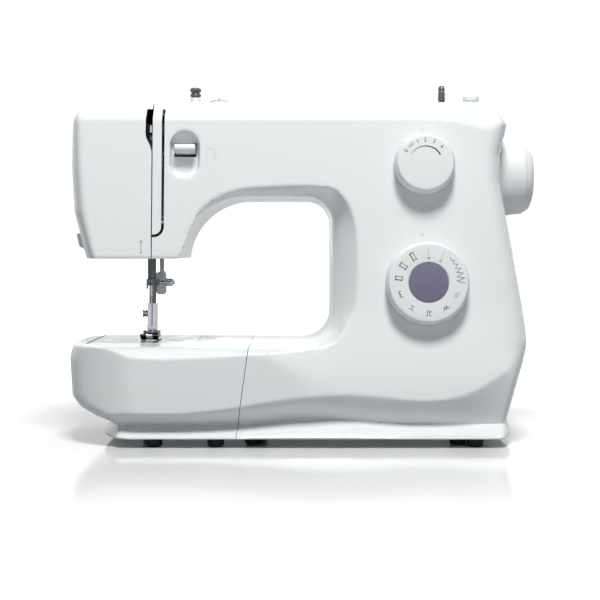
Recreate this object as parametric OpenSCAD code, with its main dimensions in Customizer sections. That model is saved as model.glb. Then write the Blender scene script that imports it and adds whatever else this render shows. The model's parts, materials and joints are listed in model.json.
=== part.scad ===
// Domestic free-arm sewing machine. Front faces -Y, the hand wheel is at +X, the table is z = 0.

/* [Overall] */
// Overall length, from the bed's left end to the hand wheel's face
overall_l = 388; // [380:1:470]
// Overall depth of the bed and base
overall_d = 174; // [170:1:210]
// Height of the casing's top above the table
top_h = 277; // [268:1:335]
// Height of the bed surface above the table
bed_h = 79; // [76:1:84]
// Height of the rubber feet below the base
foot_h = 6; // [4:0.5:8]

/* [Casing] */
// Wall thickness of the moulded covers
wall = 2.6; // [2:0.1:3.2]
// Gap between two covers that meet
seam_gap = 0.3; // [0.2:0.05:0.5]
// Length of the head, from its left end to the throat
head_l = 91.5; // [88:0.5:100]
// Length of the column measured at the throat, up to the hand wheel's face
column_l = 170; // [165:1:190]
// Height of the head's underside above the bed
head_gap = 69.5; // [64:0.5:74]
// Height of the arm's underside above the bed
throat_h = 119.5; // [112:0.5:124]
// Round corner of the throat at the head
throat_r_head = 55; // [50.5:0.5:60]
// Round corner of the throat at the column's top
throat_r_top = 20; // [12:1:30]
// Round corner of the throat at the bed
throat_r_bed = 24; // [14:1:30]
// How far the front face leans back over its height
front_lean = 14; // [8:1:18]
// Plan radius of the bed's left corners
corner_left = 45; // [30:1:55]
// Plan radius of the column's right corners
corner_right = 24; // [15:1:35]
// Height of the base skirt's upper crease
skirt_z = 19; // [15:1:24]
// Height of the crease where the front band starts
band_z = 34; // [28:1:42]

/* [Free arm] */
// Depth of the free arm
arm_d = 106; // [96:1:112]
// Height of the free arm's underside above the table
arm_under_z = 24; // [20:1:26]
// Clearance between the free arm and the extension table
arm_clear = 2; // [1.5:0.1:3]
// Length of the needle plate
plate_l = 78; // [70:1:84]
// Depth of the needle plate
plate_d = 90; // [80:1:96]
// Thickness of the needle plate
plate_t = 1.6; // [1.2:0.1:2]
// Travel of the extension table as it slides off
table_travel = 140; // [120:1:160]

/* [Sewing head] */
// Radius of the needle bar
needle_bar_r = 3.2; // [2.8:0.1:3.4]
// Radius of the presser bar
presser_bar_r = 3; // [2.6:0.1:3.4]
// Radius of the needle
needle_r = 0.5; // [0.35:0.05:0.6]
// Distance from the needle bar's axis to the presser bar's axis
bar_pitch = 10; // [9:0.5:11]
// Crank radius of the needle drive, half of the needle's stroke
crank_r = 15; // [13:0.5:16]
// Radial running clearance of shafts and bars
run_clear = 0.05; // [0.02:0.01:0.08]
// Thickness of the take-up lever
take_up_t = 2.4; // [1.6:0.1:2.6]

/* [Shafts and drives] */
// Radius of the main shaft
shaft_r = 5; // [4:0.5:6]
// Radius of the lower shaft
lower_shaft_r = 4; // [3:0.5:5]
// Radius of both timing pulleys
timing_pulley_r = 14; // [11:1:14]
// Radius of the drive pulley on the main shaft
drive_pulley_r = 28; // [24:1:30]
// Radius of the motor pulley
motor_pulley_r = 7; // [5:0.5:8]
// Radius of the motor
motor_r = 25; // [20:1:25]
// Thickness of the belts
belt_t = 1.5; // [1:0.1:1.6]
// Radial gap between a belt and its pulleys
belt_clear = 0.4; // [0.3:0.05:0.5]
// Radius of the hand wheel
wheel_r = 33; // [28:1:36]
// Thickness of the hand wheel
wheel_t = 26; // [22:1:27]

/* [Shuttle] */
// Radius of the shuttle hook
hook_r = 17; // [15:0.5:17.5]
// Radius of the bobbin
bobbin_r = 10.1; // [9.5:0.1:10.6]
// Height of the bobbin
bobbin_h = 11; // [10:0.1:11.7]
// Wall of the bobbin case
case_wall = 0.9; // [0.7:0.1:1.1]

/* [Controls] */
// Radius of the pattern dial's base
pattern_dial_r = 33; // [28:0.5:35]
// Radius of the stitch length dial's base
length_dial_r = 24.4; // [20:0.2:27]
// Height of both dials
dial_h = 15; // [12:0.5:16]
// Radius of the thread tension dial
tension_dial_r = 21; // [19:0.5:23]
// Width of the thread tension dial
tension_dial_w = 12; // [9:0.5:13]
// Width of the reverse lever
reverse_w = 16.6; // [13:0.2:18]
// Radius of the bobbin winder spindle
winder_r = 3; // [2.5:0.1:3.4]
// Travel of the bobbin winder towards its stopper
winder_travel = 8; // [5:0.5:8]
// Distance from the winder spindle to the winder stopper
winder_pitch = 24; // [22:0.5:26]

/* [Rear] */
// Length of the carry handle
handle_l = 104; // [80:1:110]
// Reach of the carry handle
handle_reach = 44; // [36:1:50]
// Radius of the spool pin
spool_pin_r = 3; // [2.5:0.1:3.5]
// Length of the spool pin
spool_pin_l = 56; // [46:1:60]

/* [Hidden] */

$fn = 48;
white = [0.93, 0.94, 0.94];
steel = [0.72, 0.73, 0.75];
dark = [0.12, 0.12, 0.13];
big = 400;

// Landmarks along the length: the head is placed from the left end, the column from the right
x_left = -overall_l / 2;
x_right = overall_l / 2;
x_head = x_left + 2.5;
x_needle = x_left + 65.4;
x_face_seam = x_needle + 8.9;
x_throat_l = x_head + head_l;
x_throat_r = x_right - column_l;
x_column_r = x_right - 31.5;
x_seam_top = x_throat_r - 66.6;
x_seam_base = x_seam_top - 10;
x_dials = x_right - 96;
x_winder = x_right - 76;
x_reverse = x_left + 99.8;
x_tension = x_left + 125.5;
x_guide = x_left + 104;

// Landmarks across the depth
y_front = -overall_d / 2;
y_rear = overall_d / 2;
y_face_low = y_front + 14;
y_back = y_rear - 14;
y_split = 8;
y_shaft = 8;
y_needle = 12;
y_top_post = 0;
y_presser = y_needle + bar_pitch;
y_lower = 42;
y_arm_rear = y_back - 1;
y_arm_front = y_arm_rear - arm_d;
y_plate = y_arm_front + 12;
y_rail = 26;
y_beam = 58;

// Landmarks in height
head_z = bed_h + head_gap;
arm_z = bed_h + throat_h;
z_shaft = top_h - 60;
z_lower = bed_h - 33;
z_face_low = bed_h + 3;
z_face_top = top_h - 15;
z_pattern = bed_h + 50;
z_length = top_h - 53.7;
z_lever = top_h - 40;
throat_a = 180 - asin((head_z - arm_z + throat_r_head) / throat_r_head);
lean_a = atan(front_lean / (z_face_top - z_face_low));

// Parts along the main shaft
x_timing = x_throat_r + 20;
timing_w = 10;
x_drive = x_right - 60;
drive_w = 8;
x_crank = x_needle + 14.6;
x_head_plate = x_needle + 20.6;
x_bearing = x_right - 48;
bush_r = shaft_r + 3;
x_post = x_throat_r + 38;
post_w = 26;
y_motor = 40;
z_motor = bed_h + 31;

function arc(c, r, a0, a1, n = 8) =
  [for (i = [0:n]) [c[0] + r * cos(a0 + (a1 - a0) * i / n), c[1] + r * sin(a0 + (a1 - a0) * i / n)]];
function head_left(z) = x_head + 2.5 + 10 * (z_shaft - 30 - z) / (z_shaft - 30 - head_z);
function rear_y(z) = y_back + 1 - 3 * (z - bed_h - 5) / (top_h - bed_h - 32);
function front_y(z) = y_face_low + front_lean * (z - z_face_low) / (z_face_top - z_face_low);

// Basic shapes placed by their ends
module box(low, high) { translate(low) cube(high - low); }
module along_x(x0, x1) { translate([x0, 0, 0]) rotate([90, 0, 90]) linear_extrude(x1 - x0) children(); }
module along_y(y0, y1) { translate([0, y1, 0]) rotate([90, 0, 0]) linear_extrude(y1 - y0) children(); }
module rod_x(x0, x1, y, z, r) { translate([x0, y, z]) rotate([0, 90, 0]) cylinder(h = x1 - x0, r = r); }
module rod_y(x, y0, y1, z, r) { translate([x, y0, z]) rotate([-90, 0, 0]) cylinder(h = y1 - y0, r = r); }
module rod_z(x, y, z0, z1, r) { translate([x, y, z0]) cylinder(h = z1 - z0, r = r); }
// Local frame on the leaning front face: +Z points out of the face
module on_front(x, z) { translate([x, front_y(z), z]) rotate([90 - lean_a, 0, 0]) children(); }

// ---------- Outlines of the casing ----------
module side_profile() {
  polygon(concat(
    [[y_front + 11, foot_h], [y_rear, foot_h], [y_rear, bed_h - 13], [y_back + 1, bed_h + 5],
     [y_back - 2, top_h - 27]],
    arc([y_back - 29, top_h - 27], 27, 0, 90),
    arc([y_front + 53, top_h - 22], 22, 90, 150),
    [[y_face_low + front_lean, z_face_top], [y_face_low, z_face_low], [y_front, bed_h - 10],
     [y_front + 2, band_z], [y_front + 19, skirt_z]]
  ));
}
module plan_profile() {
  polygon(concat(
    arc([x_left + corner_left, y_front + corner_left], corner_left, 180, 270),
    arc([x_right - 8 - corner_right, y_front + corner_right], corner_right, 270, 360),
    arc([x_right - 8 - corner_right, y_rear - corner_right], corner_right, 0, 90),
    arc([x_left + corner_left, y_rear - corner_left], corner_left, 90, 180)
  ));
}
module machine_outline() {
  polygon(concat(
    [[x_seam_base, foot_h], [x_right - 22, foot_h], [x_right - 26, skirt_z], [x_right - 8, bed_h + 2],
     [x_right - 23, bed_h + 85], [x_column_r, z_shaft - 7], [x_column_r, z_shaft + 15]],
    arc([x_right - 54, top_h - 30], 30, 20, 90),
    arc([x_head + 34, top_h - 34], 34, 90, 160),
    [[x_head, z_shaft + 7], [x_head + 2.5, z_shaft - 30], [x_head + 12.5, head_z]],
    arc([x_throat_l + throat_r_head, arm_z - throat_r_head], throat_r_head, throat_a, 90),
    arc([x_throat_r - throat_r_top, arm_z - throat_r_top], throat_r_top, 90, 0),
    arc([x_throat_r - throat_r_bed, bed_h + throat_r_bed], throat_r_bed, 0, -90),
    [[x_seam_top, bed_h]]
  ));
}
module table_outline() {
  polygon([
    [x_seam_base - seam_gap, foot_h], [x_seam_top - seam_gap, bed_h], [x_left + 4, bed_h],
    [x_left, bed_h - 11], [x_left + 3, band_z + 4], [x_left + 9, band_z - 4],
    [x_left + 36, skirt_z - 2], [x_left + 28, foot_h]
  ]);
}
module casing(inset) {
  intersection() {
    along_y(-big, big) offset(delta = -inset) children();
    along_x(-big, big) offset(delta = -inset) side_profile();
    linear_extrude(big) offset(delta = -inset) plan_profile();
  }
}
module machine_shell() {
  difference() {
    casing(0) machine_outline();
    casing(wall) machine_outline();
  }
}

// ---------- Openings shared by the covers ----------
arm_x0 = x_left + 18;
well_r = 17;
well_y = y_back + 1;
well_z = top_h - 11;
well_x0 = x_right - 146;
well_x1 = well_x0 + spool_pin_l + 8;
panel_x = x_right - 27;
panel_y0 = 16;
panel_y1 = 64;
panel_z0 = 34;
panel_z1 = bed_h + 16;
module free_arm_hole() {
  box([x_seam_base - 4, y_arm_front - 0.4, arm_under_z - 0.4], [x_seam_top + 8, y_arm_rear + 0.4, bed_h - 0.01]);
}
module needle_opening() {
  box([x_needle - 24, -30, head_z - 1], [x_throat_l - 6, 42, head_z + wall + 1]);
}
module take_up_slot() {
  box([x_face_seam - 5, y_front, z_shaft + 25], [x_face_seam + 0.1, y_front + 44, top_h - 8]);
}
module thread_slot() {
  box([x_face_seam + 7.6, y_front, z_shaft - 42], [x_face_seam + 9.6, y_front + 44, top_h - 8]);
}
module dial_holes() {
  on_front(x_dials + 0.5, z_pattern) translate([0, 0, -20]) cylinder(h = 40, r = 6);
  on_front(x_dials - 1.1, z_length) translate([0, 0, -20]) cylinder(h = 40, r = 5);
}
module tension_slot() {
  box([x_tension - tension_dial_r, -20 - tension_dial_w / 2 - 0.8, top_h - 25],
      [x_tension + tension_dial_r, -20 + tension_dial_w / 2 + 0.8, top_h + 10]);
}
module winder_slot() {
  box([x_winder - 4.5, y_split - 4.5, top_h - 12], [x_winder + winder_travel + 4.5, y_split + 4.5, top_h + 4]);
}
module top_holes() {
  rod_z(x_winder + winder_pitch, y_top_post, top_h - 10, top_h + 1, 3.4);
  rod_z(x_guide, y_top_post, top_h - 10, top_h + 1, 4.6);
}
module pill(w, h) {
  for (s = [-1, 1]) translate([0, s * (h - w) / 2]) circle(d = w);
  square([w, h - w], center = true);
}
module shaft_hole() { rod_x(x_column_r - 10, x_right, y_shaft, z_shaft, shaft_r + 3); }
module spool_well(extra) { rod_x(well_x0 - extra, well_x1 + extra, well_y, well_z, well_r + extra); }

// ---------- Casing parts ----------
module front_cover() {
  color(white) difference() {
    union() {
      intersection() {
        machine_shell();
        box([x_face_seam, -big, skirt_z], [big, y_split, big]);
      }
      intersection() {
        casing(0) machine_outline();
        on_front(x_reverse, z_lever - 5) translate([0, 0, -13]) linear_extrude(30) pill(23 + 2 * wall, 37 + 2 * wall);
      }
    }
    on_front(x_reverse, z_lever - 5) translate([0, 0, -10]) linear_extrude(30) pill(23, 37);
    on_front(x_reverse, z_lever) translate([0, 0, -10]) cube([reverse_w + 1.6, 13, 20], center = true);
    thread_slot();
    needle_opening();
    dial_holes();
    tension_slot();
    top_holes();
    winder_slot();
    shaft_hole();
    free_arm_hole();
  }
}
module rear_cover() {
  color(white) difference() {
    union() {
      intersection() {
        machine_shell();
        box([x_face_seam, y_split + seam_gap, skirt_z], [big, big, big]);
      }
      intersection() {
        casing(0) machine_outline();
        spool_well(wall);
      }
    }
    spool_well(0);
    handle_brackets();
    box([panel_x - 6, panel_y0, panel_z0], [x_right, panel_y1, panel_z1]);
    needle_opening();
    winder_slot();
    shaft_hole();
    free_arm_hole();
    for (p = screw_places) {
      rod_y(p[0], y_beam, y_rear, p[1], 2.2);
      rod_y(p[0], rear_y(p[1]) - 1.4, y_rear, p[1], 3.8);
    }
  }
}
module face_cover() {
  color(white) difference() {
    intersection() {
      machine_shell();
      box([-big, -big, bed_h + 5], [x_face_seam - seam_gap, big, big]);
    }
    take_up_slot();
    needle_opening();
  }
}
module base_pan() {
  color(white) intersection() {
    machine_shell();
    box([-big, -big, 0], [big, big, skirt_z - seam_gap]);
  }
}
// Cover screws, driven from the rear into the frame's bosses, and the needle plate's screws
screw_places = [[x_face_seam + 16, z_shaft + 12], [x_throat_r - 40, z_shaft + 12],
                [x_post + post_w / 2, z_shaft - 40], [x_post + post_w / 2, z_shaft - 115]];
plate_screw_places = [for (s = [-1, 1]) [x_needle + s * (plate_l / 2 - 10), y_plate + plate_d - 10]];
module screws() {
  color(steel) for (p = screw_places) difference() {
    union() {
      rod_y(p[0], rear_y(p[1]) - 1.4, rear_y(p[1]) + 0.4, p[1], 3.6);
      rod_y(p[0], y_back - 20, rear_y(p[1]) - 1.4, p[1], 1.9);
    }
    box([p[0] - 3, rear_y(p[1]) - 0.5, p[1] - 0.5], [p[0] + 3, y_rear, p[1] + 0.5]);
  }
  color(steel) for (p = plate_screw_places) difference() {
    union() {
      rod_z(p[0], p[1], bed_h - 0.8, bed_h, 3.6);
      rod_z(p[0], p[1], bed_h - 11, bed_h - 0.8, 1.9);
    }
    box([p[0] - 4, p[1] - 0.4, bed_h - 0.4], [p[0] + 4, p[1] + 0.4, bed_h + 1]);
  }
}
module foot(x, y) {
  rotate_extrude() polygon([[0, 0], [5.4, 0], [6.4, 1], [6.9, foot_h], [0, foot_h]]);
}
module rubber_feet() {
  color(dark) for (p = [[x_seam_base + 13, -56], [x_right - 70, -56], [x_right - 57, -66],
                        [x_seam_base + 15, 62], [x_right - 50, 62]])
    translate([p[0], p[1], 0]) foot();
}
module free_arm_cover() {
  color(white) difference() {
    box([arm_x0, y_arm_front, arm_under_z], [x_seam_top - 0.5, y_arm_rear, bed_h]);
    box([arm_x0 + wall, y_arm_front + wall, arm_under_z + wall], [big, y_arm_rear - wall, bed_h - wall]);
    box([x_needle - plate_l / 2 - 0.2, y_plate - 0.2, bed_h - plate_t], [x_needle + plate_l / 2 + 0.2, y_plate + plate_d + 0.2, bed_h + 1]);
    box([x_needle - plate_l / 2 + 3, y_plate + 3, bed_h - 10], [x_needle + plate_l / 2 - 3, y_plate + plate_d - 3, bed_h + 1]);
    box([door_x0 - 0.4, y_arm_front - 1, door_z0 - 0.4], [door_x1 + 0.4, y_arm_front + wall + 1, door_z1 + 0.4]);
    // the lower end follows the seam, which runs back towards the base
    along_y(-big, big) polygon([[x_seam_base - 0.5, foot_h], [x_seam_top - 0.5, bed_h], [big, bed_h], [big, foot_h]]);
  }
}
module feed_slots() {
  for (s = [-1, 1]) box([x_needle + s * 6 - 2.1, y_needle - 15, bed_h - 5], [x_needle + s * 6 + 2.1, y_needle + 17, bed_h + 1]);
}
module needle_plate() {
  color(steel) difference() {
    box([x_needle - plate_l / 2, y_plate, bed_h - plate_t], [x_needle + plate_l / 2, y_plate + plate_d, bed_h]);
    feed_slots();
    box([x_needle - 3.4, y_needle - 1.2, bed_h - 5], [x_needle + 3.4, y_needle + 1.2, bed_h + 1]);
    for (p = plate_screw_places) rod_z(p[0], p[1], bed_h - 5, bed_h + 1, 2.1);
    for (p = plate_screw_places) rod_z(p[0], p[1], bed_h - 0.9, bed_h + 1, 3.8);
  }
}
// ---------- Extension table ----------
module extension_table() {
  color(white) difference() {
    casing(0) table_outline();
    casing(wall) union() {
      table_outline();
      along_table_end();
    }
    box([arm_x0 - arm_clear, y_arm_front - arm_clear, arm_under_z - arm_clear], [big, big, big]);
  }
}
// Opens the hollow of the table towards the column
module along_table_end() {
  polygon([[x_seam_base - 12, foot_h], [x_seam_top - 12, bed_h], [x_seam_top + 40, bed_h], [x_seam_base + 40, foot_h]]);
}
module table_feet() {
  color(dark) for (p = [[x_left + 76, -66], [x_left + 125, -66], [x_left + 60, 54]])
    translate([p[0], p[1], 0]) foot();
}
// ---------- Frame ----------
screw_boss_r = 5;
module chassis() {
  color([0.55, 0.56, 0.58]) difference() {
    union() {
      // arm rail, column post, bed beam and the blocks that join them
      box([x_head_plate, y_rail, z_shaft - 5], [x_post + post_w, y_rail + 10, z_shaft + 29]);
      box([x_post, y_rail, foot_h + wall], [x_post + post_w, y_rail + 10, z_shaft + 29]);
      box([x_left + 26, y_beam, bed_h - 45], [x_right - 50, y_beam + 8, bed_h - 13]);
      box([x_post, y_rail + 5, foot_h + wall], [x_post + post_w, y_beam + 4, bed_h - 45 + 4]);
      box([x_post + post_w - 8, y_rail, z_shaft + 5], [x_post + post_w, y_beam + 8, z_shaft + 29]);
      box([x_post + post_w - 8, y_beam, z_shaft + 5], [x_bearing + 6, y_beam + 8, z_shaft + 29]);
      box([x_bearing, y_shaft - 12, z_shaft - 12], [x_bearing + 6, y_beam + 8, z_shaft + 29]);
      // left bearing plate and its boss
      box([x_head_plate, y_shaft - 14, head_z + 8], [x_head_plate + 6, y_rail + 10, z_shaft + 45]);
      rod_x(x_head_plate, x_head_plate + 14, y_shaft, z_shaft, bush_r + 4);
      rod_x(x_bearing - 4, x_bearing + 10, y_shaft, z_shaft, bush_r + 4);
      // guides of the presser bar
      for (z = [head_z + 8, z_guide]) box([x_needle - 5.5, y_presser - 4, z], [x_head_plate + 1, y_presser + 5, z + 7]);
      // pivots of the needle frame, the take-up lever and the lifter
      box([x_needle - 5.5, -2, z_frame - 5], [x_head_plate + 1, 2, z_frame + 5]);
      rod_y(x_needle, 1, 7, z_frame, 2.5);
      rod_x(x_face_seam - 4.5, x_head_plate + 1, take_up_y, take_up_z, 2.5);
      // bearings of the lower shaft and of the shuttle
      for (x = [x_needle + 30, x_throat_r - 4]) {
        rod_x(x, x + 10, y_lower, z_lower, lower_shaft_r + 5);
        box([x, y_lower, z_lower - 6], [x + 10, y_beam + 1, z_lower + 6]);
      }
      for (p = screw_places) rod_y(p[0], y_rail + 5, y_back - 6, p[1], screw_boss_r);
      // shelf of the bobbin winder
      box([x_winder - 13, -4, top_h - 29.4], [x_bearing + 6, y_beam - 2, top_h - 26.4]);
      box([x_bearing - 8, y_beam - 6, z_shaft + 5], [x_bearing + 6, y_beam + 4, top_h - 26.4]);
      rod_y(x_needle, y_needle + 6, y_needle + 26, z_hook, lower_shaft_r + 4.5);
      box([x_needle - 10, y_needle + 12, z_hook - 17], [x_needle + 2, y_beam + 4, z_hook - 6]);
    }
    rod_x(x_head_plate - 1, x_bearing + 20, y_shaft, z_shaft, bush_r + run_clear);
    for (z = [head_z + 8, z_guide]) rod_z(x_needle, y_presser, z - 1, z + 8, presser_bar_r + run_clear);
    rod_x(x_left, x_right, y_lower, z_lower, lower_shaft_r + run_clear);
    rod_y(x_needle, 0, y_needle + 30, z_hook, lower_shaft_r + run_clear);
    for (p = screw_places) rod_y(p[0], y_back - 21, y_rear, p[1], 1.95);
  }
}
module main_bushes() {
  color([0.76, 0.6, 0.36]) for (x = [x_head_plate, x_bearing - 4]) difference() {
    rod_x(x, x + 14, y_shaft, z_shaft, bush_r);
    rod_x(x - 1, x + 15, y_shaft, z_shaft, shaft_r + run_clear);
  }
}
y_control = y_front + 50;
module control_plate() {
  color(steel) difference() {
    union() {
      box([x_dials - 30, y_control, z_pattern - 24], [x_dials + 30, y_control + 2.5, z_length + 18]);
      box([x_dials - 30, y_control, z_length + 8], [x_dials - 26, y_rail, z_length + 16]);
    }
    on_front(x_dials + 0.5, z_pattern) translate([0, 0, -60]) cylinder(h = 80, r = 4 + run_clear);
    on_front(x_dials - 1.1, z_length) translate([0, 0, -60]) cylinder(h = 80, r = 3 + run_clear);
  }
}
// ---------- Drive ----------
module motor() {
  color([0.35, 0.36, 0.38]) {
    rod_x(x_drive - 44, x_drive - 6, y_motor, z_motor, motor_r);
    box([x_drive - 40, y_motor - 8, foot_h + wall], [x_drive - 12, y_motor + 8, z_motor - motor_r + 2]);
  }
}
module motor_pulley() {
  color(steel) union() {
    rod_x(x_drive - 4, x_drive + drive_w, y_motor, z_motor, motor_pulley_r);
    rod_x(x_drive + drive_w, x_drive + drive_w + 1.5, y_motor, z_motor, motor_pulley_r + 2);
  }
}
// Outline around two circles of radius r1 at p1 and r2 at p2
function around(p1, r1, p2, r2, n = 12) =
  let (d = p2 - p1, a = atan2(d[1], d[0]), b = acos((r1 - r2) / norm(d)))
  concat(arc(p2, r2, a - b, a + b, n), arc(p1, r1, a + b, a + 360 - b, 2 * n));
module belt(x0, x1, p1, r1, p2, r2) {
  along_x(x0, x1) difference() {
    polygon(around(p1, r1 + belt_clear + belt_t, p2, r2 + belt_clear + belt_t));
    polygon(around(p1, r1 + belt_clear, p2, r2 + belt_clear));
  }
}
module motor_belt() {
  color(dark) belt(x_drive + 1, x_drive + drive_w - 1, [y_shaft, z_shaft], drive_pulley_r,
                   [y_motor, z_motor], motor_pulley_r);
}
module timing_belt() {
  color(dark) belt(x_timing + 1, x_timing + timing_w - 1, [y_shaft, z_shaft], timing_pulley_r,
                   [y_lower, z_lower], timing_pulley_r);
}
module pulley(x0, w, y, z, r, bore, spokes) {
  difference() {
    rod_x(x0, x0 + w, y, z, r);
    rod_x(x0 - 1, x0 + w + 1, y, z, bore);
    for (i = [0:spokes - 1]) translate([x0 - 1, y, z]) rotate([i * 360 / spokes, 0, 0])
      rod_x(0, w + 2, 0, (r + bore) / 2, (r - bore) / 4);
  }
}
module shaft_pulleys() {
  color(dark) pulley(x_drive, drive_w, y_shaft, z_shaft, drive_pulley_r, shaft_r, 6);
  color(steel) pulley(x_timing, timing_w, y_shaft, z_shaft, timing_pulley_r, shaft_r, 4);
}
module main_shaft() { color(steel) rod_x(x_crank + 1, x_right - 4, y_shaft, z_shaft, shaft_r); }
module lower_shaft() {
  color(steel) {
    rod_x(x_needle + 20, x_throat_r + 60, y_lower, z_lower, lower_shaft_r);
    pulley(x_timing, timing_w, y_lower, z_lower, timing_pulley_r, lower_shaft_r - 0.5, 4);
  }
}
crank_a = 118;
module crank_disc() {
  color(steel) {
    difference() {
      along_x(x_crank, x_crank + 5) translate([y_shaft, z_shaft]) union() {
        circle(r = 9);
        intersection() {
          circle(r = crank_r + 3);
          rotate(crank_a + 180) translate([0, -20]) square([40, 40]);
        }
        rotate(crank_a) translate([0, -4]) square([crank_r, 8]);
        rotate(crank_a) translate([crank_r, 0]) circle(r = 4);
      }
      rod_x(x_crank + 1, x_crank + 6, y_shaft, z_shaft, shaft_r);
    }
    rod_x(x_crank - 2.2, x_crank, y_shaft + crank_r * cos(crank_a), z_shaft + crank_r * sin(crank_a), 2.5);
  }
}
module hand_wheel() {
  color(white) difference() {
    translate([x_right - wheel_t, y_shaft, z_shaft]) rotate([0, 90, 0]) rotate_extrude($fn = 96) polygon(concat(
      [[shaft_r, 6], [shaft_r + 6, 6], [shaft_r + 6, 2], [wheel_r - 3, 2], [wheel_r - 2, 0], [wheel_r, 0]],
      [[wheel_r - 0.6, wheel_t * 0.4]],
      arc([wheel_r - 9, wheel_t - 9.5], 8, 30, 80, 5),
      [[wheel_r - 14, wheel_t], [0, wheel_t], [0, wheel_t - 4], [shaft_r, wheel_t - 4]]
    ));
  }
}
// ---------- Sewing head ----------
z_frame = top_h - 20;
z_lug_top = top_h - 51;
z_block = head_z + 33;
// How far the needle bar goes down from rest
needle_drop = 22;
z_guide = head_z + 42;
z_clamp = bed_h + 49;
needle_l = z_clamp - bed_h - 10;
take_up_y = 34;
take_up_z = z_shaft + 19;
module needle_frame() {
  color(steel) difference() {
    union() {
      box([x_needle - 4.4, y_needle - 9, head_z + 3.5], [x_needle + 4.4, y_needle - 5.5, z_frame + 5]);
      box([x_needle - 4.4, y_needle - 6, head_z + 3.5], [x_needle + 4.4, y_needle + 4.6, z_block - 4 - needle_drop - 0.3]);
      box([x_needle - 4.4, y_needle - 6, z_lug_top], [x_needle + 4.4, y_needle + 4.6, z_lug_top + 6]);
    }
    rod_z(x_needle, y_needle, head_z, z_lug_top + 8, needle_bar_r + run_clear);
    rod_y(x_needle, 0, 8, z_frame, 2.5 + run_clear);
  }
}
z_bar_seat = z_clamp + 0.5;
module needle_bar() {
  color(steel) union() {
    rod_z(x_needle, y_needle, z_bar_seat, z_lug_top + 14, needle_bar_r);
    box([x_needle - 4.4, y_needle - 3.6, z_block - 4], [x_needle + 8.2, y_needle + 3.6, z_block + 4]);
    rod_x(x_needle + 8, x_needle + 11.6, y_needle, z_block, 2);
  }
}
clamp_r = needle_bar_r + 1.2;
module needle_clamp() {
  color(dark) difference() {
    union() {
      rod_z(x_needle, y_needle, z_clamp - 2.6, z_clamp + 3, clamp_r);
      box([x_needle + 2, y_needle - 3, z_clamp - 2.4], [x_needle + 7, y_needle + 3, z_clamp + 2.6]);
      rod_z(x_needle - 3.4, y_needle - 1.5, z_clamp - 5.5, z_clamp - 2.6, 0.8);
    }
    rod_z(x_needle, y_needle, z_bar_seat, z_clamp + 5, needle_bar_r);
    rod_z(x_needle, y_needle, z_clamp - 5, z_clamp + 1, 1);
    rod_x(x_needle + 0.6, x_needle + 8, y_needle, z_clamp, 1.6 + run_clear);
  }
}
module needle() {
  color(steel) turned_at(x_needle, y_needle, bed_h + 10)
    polygon([[0, 0], [needle_r * 0.8, 3.5], [needle_r, 5], [needle_r, 25], [1, 28], [1, needle_l], [0, needle_l]]);
}
module turned_at(x, y, z) { translate([x, y, z]) rotate_extrude($fn = 24) children(); }
module clamp_screw() {
  color(steel) {
    rod_x(x_needle + 3.6, x_needle + 11, y_needle, z_clamp, 1.6);
    rod_x(x_needle + 11, x_needle + 19, y_needle, z_clamp, 3.3);
    rod_x(x_needle + 19, x_needle + 20, y_needle, z_clamp, 2.4);
  }
}
link_l = norm([y_shaft + crank_r * cos(crank_a) - y_needle, z_shaft + crank_r * sin(crank_a) - z_block]);
link_a = atan2(z_shaft + crank_r * sin(crank_a) - z_block, y_shaft + crank_r * cos(crank_a) - y_needle);
module needle_link() {
  color(steel) difference() {
    along_x(x_needle + 8.8, x_needle + 11.2) translate([y_needle, z_block]) rotate(link_a) union() {
      circle(r = 4.5);
      translate([link_l, 0]) circle(r = 5);
      translate([0, -2.6]) square([link_l, 5.2]);
    }
    rod_x(x_needle + 8, x_needle + 12, y_needle, z_block, 2 + run_clear);
    rod_x(x_needle + 8, x_needle + 12, y_needle + link_l * cos(link_a), z_block + link_l * sin(link_a), 2.9);
  }
}
module take_up_lever() {
  color(steel) difference() {
    along_x(x_face_seam - 2.5 - take_up_t / 2, x_face_seam - 2.5 + take_up_t / 2) union() {
      translate([take_up_y, take_up_z]) circle(r = 6);
      polygon([[take_up_y, take_up_z + 6], [take_up_y, take_up_z - 6], [y_front + 42, take_up_z + 9],
               [y_front + 36, take_up_z + 14], [y_front + 36, take_up_z + 20], [y_front + 42, take_up_z + 17]]);
    }
    rod_x(x_face_seam - 8, x_face_seam + 4, take_up_y, take_up_z, 2.5 + run_clear);
    rod_x(x_face_seam - 8, x_face_seam + 4, y_front + 39, take_up_z + 14.6, 1.2);
  }
}
module presser_bar() {
  color(steel) union() {
    rod_z(x_needle, y_presser, bed_h + 20, z_guide + 24, presser_bar_r);
    rod_z(x_needle, y_presser, head_z + 15.5, head_z + 20, presser_bar_r + 2.9);
  }
}
spring_turns = 6;
spring_z0 = head_z + 20.6;
spring_z1 = z_guide - 0.6;
function coil_point(t, a) =
  let (r = presser_bar_r + 1.9 + 0.7 * cos(a))
  [r * cos(t * 360), r * sin(t * 360), 0.7 * sin(a) + t * (spring_z1 - spring_z0 - 1.4) / spring_turns];
module presser_spring() {
  rings = spring_turns * 14;
  sides = 6;
  points = [for (i = [0:rings]) for (j = [0:sides - 1]) coil_point(i * spring_turns / rings, -j * 360 / sides)];
  faces = concat(
    [for (i = [0:rings - 1]) for (j = [0:sides - 1])
      [i * sides + j, i * sides + (j + 1) % sides, (i + 1) * sides + (j + 1) % sides, (i + 1) * sides + j]],
    [[for (j = [sides - 1:-1:0]) j], [for (j = [0:sides - 1]) rings * sides + j]]
  );
  color(steel) translate([x_needle, y_presser, spring_z0 + 0.7]) polyhedron(points, faces);
}
holder_x0 = x_needle - 4;
holder_x1 = x_needle + 4;
z_pin = bed_h + 7;
foot_gap = 1;
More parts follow.
